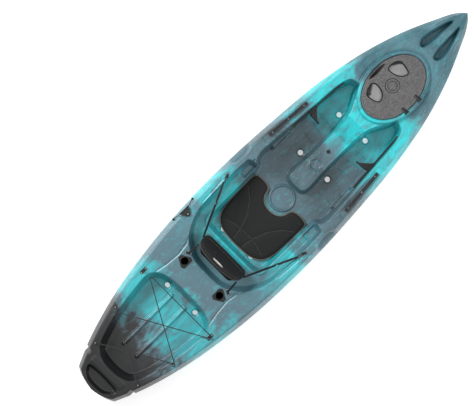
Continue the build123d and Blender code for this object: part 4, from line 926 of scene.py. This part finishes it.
def cover_details():
    """A black plate in the scoop on the port edge as painted shade of the scoop, two black rings round the
    boss as painted shade lines of its groove, and the raised ribs of the cover in a lighter plastic as
    painted highlight.
    """
    lune = rounded([(941, 143), (968, 151), (1018, 153), (1068, 151), (1096, 143), (1060, 134), (1018, 131),
                    (976, 134)], 2)
    # black plate laid in the scoop on the port edge: painted shade of the scoop
    plate("hatch_scoop_shade", lune, 318.0, 321.9, black_finish, "hatch")
    # black rings round the boss: painted shade lines where its groove and edge are
    turn = np.linspace(0, 2 * math.pi, 72, endpoint=False)
    for radius, word in ((46, "outer"), (30, "inner")):
        across, along = hatch_x + radius * np.cos(turn), 10 + radius * np.sin(turn)
        ring = np.column_stack([across, along, np.full(72, 321.6)])
        tube(f"hatch_boss_shade_line_{word}", ring, 1.7, black_finish, "hatch", flatten=0.6)
    half_x, half_y = cover_a - 20, cover_b - 20
    ribs = []
    for y in (-32, -68, -104):
        reach = half_x * math.sqrt(1 - (y / half_y) ** 2)
        ribs.append([(hatch_x - reach, y), (hatch_x + reach, y)])
    for x in (880, 922, 964, 1082, 1124, 1166, 1208):
        low = -half_y * math.sqrt(1 - ((x - hatch_x) / half_x) ** 2)
        ribs.append([(x, low), (x, -20 if x < 1180 else 40)])
    for index, rib in enumerate(ribs):
        line = resampled(rib, 8, closed=False)
        path = np.column_stack([line, np.full(len(line), coaming_z + 2.3)])
        # the ribs take the lighter plastic as painted highlight
        tube(f"hatch_rib_highlight_{index}", path, 1.8, rib_highlight_finish, "hatch", closed=False, sides=8,
             flatten=0.5)


cover()
cover_details()
latch_pan("forward_latch_pan", pocket_forward)
latch_pan("aft_latch_pan", pocket_aft)
hinge_arms()


# --- camera, light and floor ---------------------------------------------------------------------
def studio():
    floor = bpy.data.meshes.new("floor")
    reach = 12.0
    floor.from_pydata([(-reach, -reach, -0.002), (reach, -reach, -0.002), (reach, reach, -0.002),
                       (-reach, reach, -0.002)], [], [(0, 1, 2, 3)])
    ground = bpy.data.objects.new("floor", floor)
    t = Tree("studio_floor", 0.9)
    t.shader.inputs["Base Color"].default_value = (0.92, 0.92, 0.92, 1)
    t.shader.inputs["Emission Color"].default_value = (1, 1, 1, 1)
    t.shader.inputs["Emission Strength"].default_value = 0.5
    floor.materials.append(t.material)
    bpy.context.scene.collection.objects.link(ground)
    world = bpy.data.worlds.new("studio")
    world.use_nodes = True
    world.node_tree.nodes["Background"].inputs["Color"].default_value = (1.0, 1.0, 1.0, 1)
    world.node_tree.nodes["Background"].inputs["Strength"].default_value = 0.42
    bpy.context.scene.world = world
    lamps = [
        ("key", (-1.0, 4.5, 4.5), 2.0, 300),
        ("fill", (2.5, -4.0, 4.0), 2.5, 110),
        ("top", (0.0, 0.0, 6.0), 4.0, 40)]
    for name, place, size, power in lamps:
        light = bpy.data.lights.new(name, "AREA")
        light.size, light.energy = size, power
        lamp = bpy.data.objects.new(name, light)
        lamp.location = place
        lamp.rotation_euler = (Vector((0, 0, 0.2)) - Vector(place)).to_track_quat("-Z", "Y").to_euler()
        bpy.context.scene.collection.objects.link(lamp)


def photo_camera():
    """Looks straight down with a long lens, with the bow to the upper right."""
    height, view_width = 14.0, 2.994
    data = bpy.data.cameras.new("camera")
    data.sensor_width = 36.0
    data.lens = data.sensor_width * height / view_width
    data.clip_end = 60.0
    camera = bpy.data.objects.new("camera", data)
    camera.location = (-0.192, 0.181, deck_z * MM + height)
    camera.rotation_euler = (0, 0, math.radians(-45))
    bpy.context.scene.collection.objects.link(camera)
    bpy.context.scene.camera = camera


studio()
photo_camera()
bpy.context.scene.view_settings.view_transform = "Standard"

# --- finishes for the parts whose shape is already right -----------------------------------------
finishes = {
    black_finish: [
        "hatch_hinge_lugs", "aft_latch_lever", "forward_latch_lever", "aft_latch_cam", "forward_latch_cam",
        "foot_pedal_port", "foot_pedal_starboard", "rod_holder_port", "rod_holder_starboard",
        "strap_buckles",
        "front_bungee_posts", "middle_bungee_posts", "aft_bungee_posts", "paddle_keeper_knob",
        "paddle_keeper_hook", "paddle_keeper_anchors", "drain_plug", "console_plug", "seat_back_panel",
        "front_pad_eyes", "rear_pad_eyes", "snap_hooks", "rod_holder_screws", "seat_pad_rivets"],
    brown_finish: ["foot_rail_port", "foot_rail_starboard"],
    dark_rubber: ["hatch_gasket", "drain_plug_seal"],
    track_finish: ["gear_track_port", "gear_track_starboard"],
    steel_finish: [
        "hatch_hinge_pins", "gear_track_screws", "foot_rail_screws",
        "seat_hinge_brackets", "seat_hinge_rod", "pad_eye_screws", "front_post_screws", "bungee_post_bolts",
        "paddle_keeper_bolt"],
    cord_finish: ["tankwell_bungee", "paddle_keeper_cord"],
}
for finish, names in finishes.items():
    for name in names:
        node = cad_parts[name]
        for spot in node.material_slots:
            spot.material = finish
        if not node.material_slots:
            node.data.materials.append(finish)
